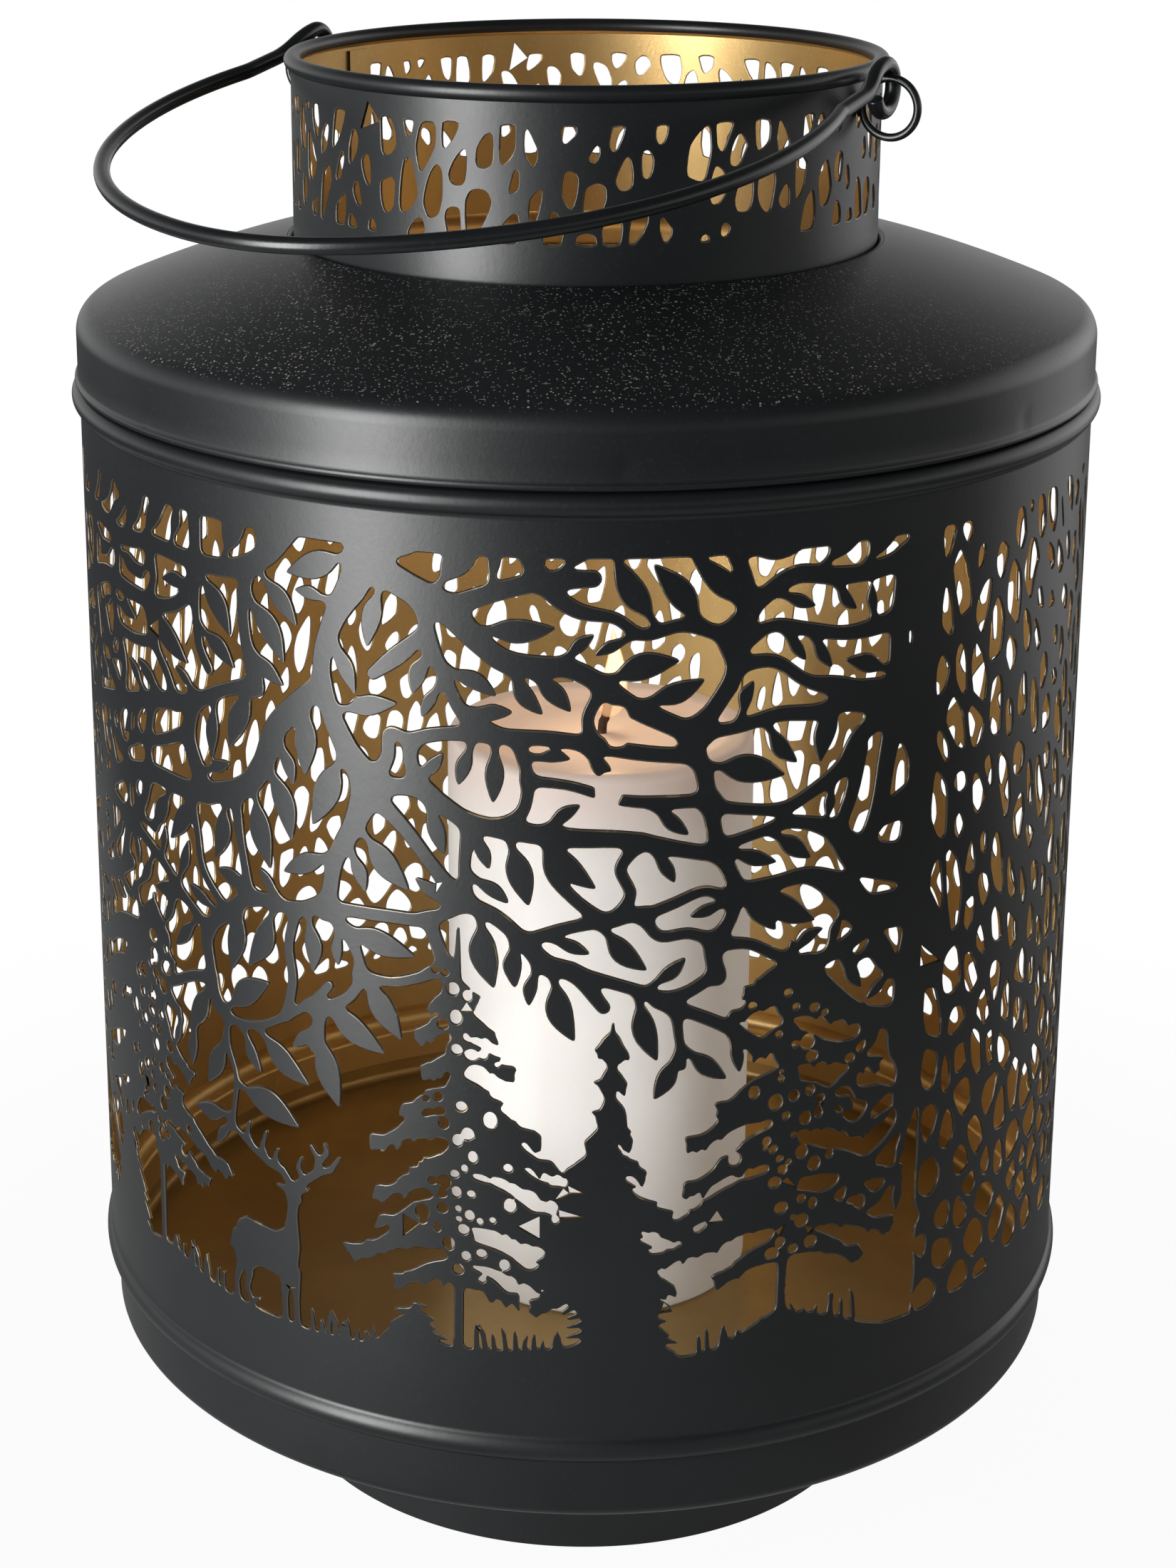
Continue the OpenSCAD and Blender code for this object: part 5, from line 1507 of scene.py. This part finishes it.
def bail_path():
    """Centreline of the bail, in the order from one hook's end to the other."""
    reach, rise = 117.4, 1.8                                # of the bow, and of the wire over the hinge
    bow_r, leg_r, neck_r, hook_r, crank_r = 50.0, 82.0, 10.0, 4.4, 15.5
    bow, side, leg = (math.radians(a) for a in (18, 68, 103))   # headings where one arc meets the next
    hook_in = 0.43 * BAIL_WIRE
    shift = math.hypot(hook_in, hook_r - rise)
    crank = math.acos(1 - shift / (2 * crank_r))
    crank_length = 2 * crank_r * math.sin(crank)
    side_r = ((EAR_AT - bow_r * math.sin(bow) - leg_r * (math.sin(leg) - math.sin(side))
               + neck_r * (1 - math.sin(leg))) / (math.sin(side) - math.sin(bow)))

    def sweep(centre, radius, start, end, count):
        """An arc between two headings; a radius below 0 turns the other way."""
        angle = np.linspace(start, end, count + 1)[1:]
        return np.column_stack([centre[0] + radius * np.sin(angle), centre[1] + radius * np.cos(angle),
                                0 * angle])

    bow_centre = np.array([0, reach - bow_r])
    side_centre = bow_centre - (side_r - bow_r) * np.array([math.sin(bow), math.cos(bow)])
    leg_centre = side_centre - (leg_r - side_r) * np.array([math.sin(side), math.cos(side)])
    neck_centre = leg_centre + (leg_r + neck_r) * np.array([math.sin(leg), math.cos(leg)])
    angle = crank * np.concatenate([np.arange(1, 9), np.arange(7, -1, -1)]) / 8
    moved, along = crank_r * (1 - np.cos(angle)), crank_r * np.sin(angle)
    first = np.arange(16) < 8
    share = np.where(first, moved / shift, 1 - moved / shift)
    crank_run = np.column_stack([EAR_AT - hook_in * share, np.where(first, crank_length - along, along),
                                 (hook_r - rise) * share])
    turn = np.radians(np.linspace(0, HOOK_TURN, 37)[1:])
    hook = np.column_stack([0 * turn + EAR_AT - hook_in, -hook_r * np.sin(turn),
                            hook_r * np.cos(turn) - rise])
    straight = np.linspace(neck_centre[1], crank_length, 4)[1:]
    half = np.vstack([[(0, reach, 0)], sweep(bow_centre, bow_r, 0, bow, 8),
                      sweep(side_centre, side_r, bow, side, 22), sweep(leg_centre, leg_r, side, leg, 16),
                      sweep(neck_centre, -neck_r, leg, math.pi / 2, 5),
                      np.column_stack([0 * straight + EAR_AT, straight, 0 * straight]), crank_run, hook])
    return np.vstack([(half * (-1, 1, 1))[:0:-1], half]) + (0, 0, rise)


def make_bail():
    """The bent wire handle, with a hook in each ear ring."""
    hinge_z = frame["joints"][0]["pos_m"][2] / MM
    turn, lean = math.radians(HINGE_AZ + 90), math.radians(BAIL_LEAN)
    tilt = np.array([[1, 0, 0], [0, math.cos(lean), -math.sin(lean)], [0, math.sin(lean), math.cos(lean)]])
    spin = np.array([[math.cos(turn), -math.sin(turn), 0], [math.sin(turn), math.cos(turn), 0], [0, 0, 1]])
    path = bail_path() @ tilt.T @ spin.T + (0, 0, hinge_z)
    shape = Shape()
    add_tube(shape, path, BAIL_WIRE / 2, BLACK, 24, (0, 0, 1))
    return shape.make("bail_wire", [wire_coat])


CANDLE_STEPS = 160
FLAME_R, FLAME_SHIFT = 3.5, 1.6     # half the flame's width, and how far it stands beside the candle's axis
WICK_TIP_RINGS = 4                  # the last rings of the wick, which its glowing bead thickens


def turned(run, steps):
    """Radii, heights and angles of a run of (r, z) points once round the axis."""
    run = np.asarray(run, float)
    angle = np.arange(steps) * 2 * math.pi / steps
    return np.repeat(run[:, :1], steps, 1), np.repeat(run[:, 1:2], steps, 1), angle


def make_candle():
    """The pillar candle: its rim is uneven, and a shallow pool has melted round the wick."""
    shape = Shape()
    top, low = CANDLE_HIGH[2], FLOOR_Z
    foot = rounded([(28.0, low), (CANDLE_R, low, 0.8), (CANDLE_R, low + 6)], 4)
    side = [(CANDLE_R, low + 6 + k * (top - low - 12) / 20) for k in range(1, 21)]
    rim = rounded([(CANDLE_R, top - 4.5), (CANDLE_R - 0.15, top, 2.4), (CANDLE_R - 5.5, top - 0.2, 4.0),
                   (CANDLE_R - 10.0, top - 2.6, 6.0), (14, top - 3.0)], 6)
    pool = [(10.0, top - 3.1), (6.0, top - 2.9), (3.0, top - 2.5), (1.05, top - 1.9), (0.0, top - 1.9)]
    under = [(0.0, low), (12.0, low), (24.0, low)]
    r, z, angle = turned(np.vstack([under, foot, side, rim, pool]), CANDLE_STEPS)
    wave = 0.16 * np.sin(3 * angle + 0.6) + 0.09 * np.sin(7 * angle + 2.1) + 0.06 * np.sin(13 * angle)
    height = np.clip((z - low) / (top - low), 0, 1)
    rim_share = np.clip((z - top + 9) / 9, 0, 1) * np.clip((r - 12) / 12, 0, 1)
    r = r * (1 + 0.0006 * np.sin(5 * angle + 9 * height)) - 0.10 * wave * rim_share
    z = z + (wave - 0.3) * rim_share
    shape.grid(around(r, z, angle) + np.array([CANDLE_X, CANDLE_Y, 0]), 0, None, (False, True))
    return shape.make("candle_pillar", [wax("ivory wax")])


def make_wick():
    """The wick, upright in the wax and bent over where it burns."""
    shape = Shape()
    top = CANDLE_HIGH[2]
    path = spline([(0, 0, FLOOR_Z + 2), (0, 0, top - 30), (0.2, 0, top - 3), (0.9, 0, top + 1.5),
                   (1.5, 0.1, top + 4.4), (2.4, 0.1, top + 6.6), (3.4, -0.1, top + 7.2),
                   (3.7, -0.2, top + 6.4)], 10)
    dice = np.random.default_rng(3)
    share = np.clip((path[:, 2] - top) / 8, 0, 1)
    radius = 0.95 + share * dice.uniform(-0.22, 0.22, len(path))
    radius[-WICK_TIP_RINGS:] += 0.25
    add_tube(shape, path + np.array([CANDLE_X, CANDLE_Y, 0]), radius, 0, 14, (1, 0, 0))
    return shape.make("wick_charred", [charred_cotton("charred cotton")])


def make_flame():
    """The flame round the wick's bent end, leaning a little with it."""
    shape = Shape()
    t = np.linspace(0, 1, 40)
    width = FLAME_R * np.sin(math.pi * t ** 0.60) ** 0.8 * (1 - 0.45 * t)
    width[[0, -1]] = 0.02
    lean = 1.3 * np.sin(t * 2.6)
    points = around(*turned(np.column_stack([width, FLAME_LOW + (FLAME_HIGH - FLAME_LOW) * t]), 48))
    points[..., 0] += (lean[:, None] + CANDLE_X + FLAME_SHIFT)
    points[..., 1] += CANDLE_Y
    shape.grid(points, 0, None, (False, True))
    return shape.make("flame", [flame_light("flame")])


pieces = [
    (make_foot_ring(), "lantern", ["foot_ring"], "black_steel"),
    (make_base_pan(), "lantern", ["base_pan"], "black_steel"),
    (make_drum(), "lantern", ["drum"], "black_steel"),
    (make_lid(), "lantern", ["lid"], "black_steel"),
    (make_collar(), "lantern", ["collar"], "black_steel"),
    (make_ear_ring("ear_ring_right_welded", HINGE_AZ), "lantern", ["ear_ring_right"], "black_steel"),
    (make_ear_ring("ear_ring_left_welded", HINGE_AZ + 180), "lantern", ["ear_ring_left"], "black_steel"),
    (make_bail(), "bail", ["bail"], "black_steel"),
    (make_candle(), "candle", ["candle"], "wax"),
    (make_wick(), "candle", ["wick"], "wick_cotton"),
    (make_flame(), "candle", [], "wax"),
]
for piece, body, nodes, slot in pieces:
    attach(piece, body)
    if nodes:
        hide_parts(*nodes)


# ---------------------------------------------------------------------------------------------
# Floor, light and camera
# ---------------------------------------------------------------------------------------------
FLOOR_HALF = 0.36                   # metres
FLOOR_GREY = (0.36, 0.36, 0.36)
# Soft boxes: azimuth, distance from the axis and height of the middle, width and height, all in metres, watts
LAMPS = {"key": (-46, 1.05, 0.26, 0.38, 0.94, 20), "side": (122, 1.10, 0.30, 0.85, 1.05, 2.3),
         "back": (200, 1.20, 0.60, 0.60, 0.60, 3.0)}
UNMIRRORED = "back"                 # the coat doesn't show this lamp as a reflection
LAMPS_FACE = Vector((0, 0, 0.16))
GLOW = (0.022, (1.0, 0.62, 0.30), 5)    # of the flame on wax and gold: watts, colour, size in millimetres
GLOW_AT = (1.5, 0, 16)              # millimetres from the candle's axis and above the flame's foot


def make_floor():
    """The plate of pale paper under the lantern."""
    mesh = bpy.data.meshes.new("floor")
    half = FLOOR_HALF
    corners = [(-half, -half, 0), (half, -half, 0), (half, half, 0), (-half, half, 0)]
    mesh.from_pydata(corners, [], [(0, 1, 2, 3)])
    mesh.materials.append(pale_floor("pale floor", FLOOR_GREY))
    add_to_scene("floor", mesh)


def make_world():
    """A white backdrop that fades above, below and in front, where the dark room is, and weak even light."""
    world = bpy.data.worlds.new("studio")
    bpy.context.scene.world = world
    nodes = Nodes("studio", world)
    camera, reflected = nodes.seen_directly()
    direction = nodes.node("ShaderNodeTexCoord", output=0)
    up = nodes.axis(direction, "Z")
    overhead, below = nodes.limits(up, 0.05, 0.62, 0.9, 0.06), nodes.limits(up, -0.18, -0.02, 0.07, 1.0)
    front = nodes.limits(nodes.axis(direction, "Y"), -1.0, -0.15, 0.22, 1.0)
    strength = camera + reflected * overhead * below * front + AMBIENT * (1 - camera - reflected)
    backdrop = nodes.node("ShaderNodeBackground", Color=(1, 1, 1), Strength=strength)
    nodes.finish(backdrop, "ShaderNodeOutputWorld")


def add_lamp(name, az, distance, middle_z, width, height, power):
    """A soft box facing the lantern from an azimuth, with its middle at a height."""
    light = bpy.data.lights.new(name, "AREA")
    light.shape = "RECTANGLE"
    light.size, light.size_y = width, height
    light.energy = power
    lamp = add_to_scene(name, light)
    turn = math.radians(az)
    lamp.location = (distance * math.sin(turn), -distance * math.cos(turn), middle_z)
    lamp.rotation_euler = (LAMPS_FACE - lamp.location).to_track_quat("-Z", "Y").to_euler()
    lamp.visible_glossy = name != UNMIRRORED


def add_flame_glow():
    """The warm light that the flame throws on the wax and the gold."""
    light = bpy.data.lights.new("flame glow", "POINT")
    light.energy, light.color, size = GLOW
    light.shadow_soft_size = size * MM
    place = Vector((CANDLE_X, CANDLE_Y, FLAME_LOW)) + Vector(GLOW_AT)
    add_to_scene("flame glow", light).location = place * MM


def make_camera():
    """The photograph's camera, from a fit to the circles of the foot, beads, lid and collar."""
    focal_px, high_px, wide_px = 4248.0, 2200.0, 1650.0
    centre_px = (700.0, 780.0)
    place = (0, -592.9 * MM, 357.4 * MM)
    pitch, roll, yaw = math.radians(15.89), math.radians(-0.08), math.radians(-1.65)
    forward = Vector((math.sin(yaw) * math.cos(pitch), math.cos(yaw) * math.cos(pitch), -math.sin(pitch)))
    level = Vector((math.cos(yaw), -math.sin(yaw), 0))
    upright = level.cross(forward)
    right = math.cos(roll) * level + math.sin(roll) * upright
    up = math.cos(roll) * upright - math.sin(roll) * level
    data = bpy.data.cameras.new("camera")
    data.sensor_width = 36.0
    data.lens = focal_px * data.sensor_width / high_px
    data.shift_x = (wide_px / 2 - centre_px[0]) / high_px
    data.shift_y = (centre_px[1] - high_px / 2) / high_px
    camera = add_to_scene("camera", data)
    camera.matrix_world = Matrix.Translation(place) @ Matrix((right, up, -forward)).transposed().to_4x4()
    bpy.context.scene.camera = camera


make_floor()
make_world()
for name, values in LAMPS.items():
    add_lamp(name, *values)
add_flame_glow()
make_camera()
bpy.context.scene.view_settings.view_transform = "Standard"
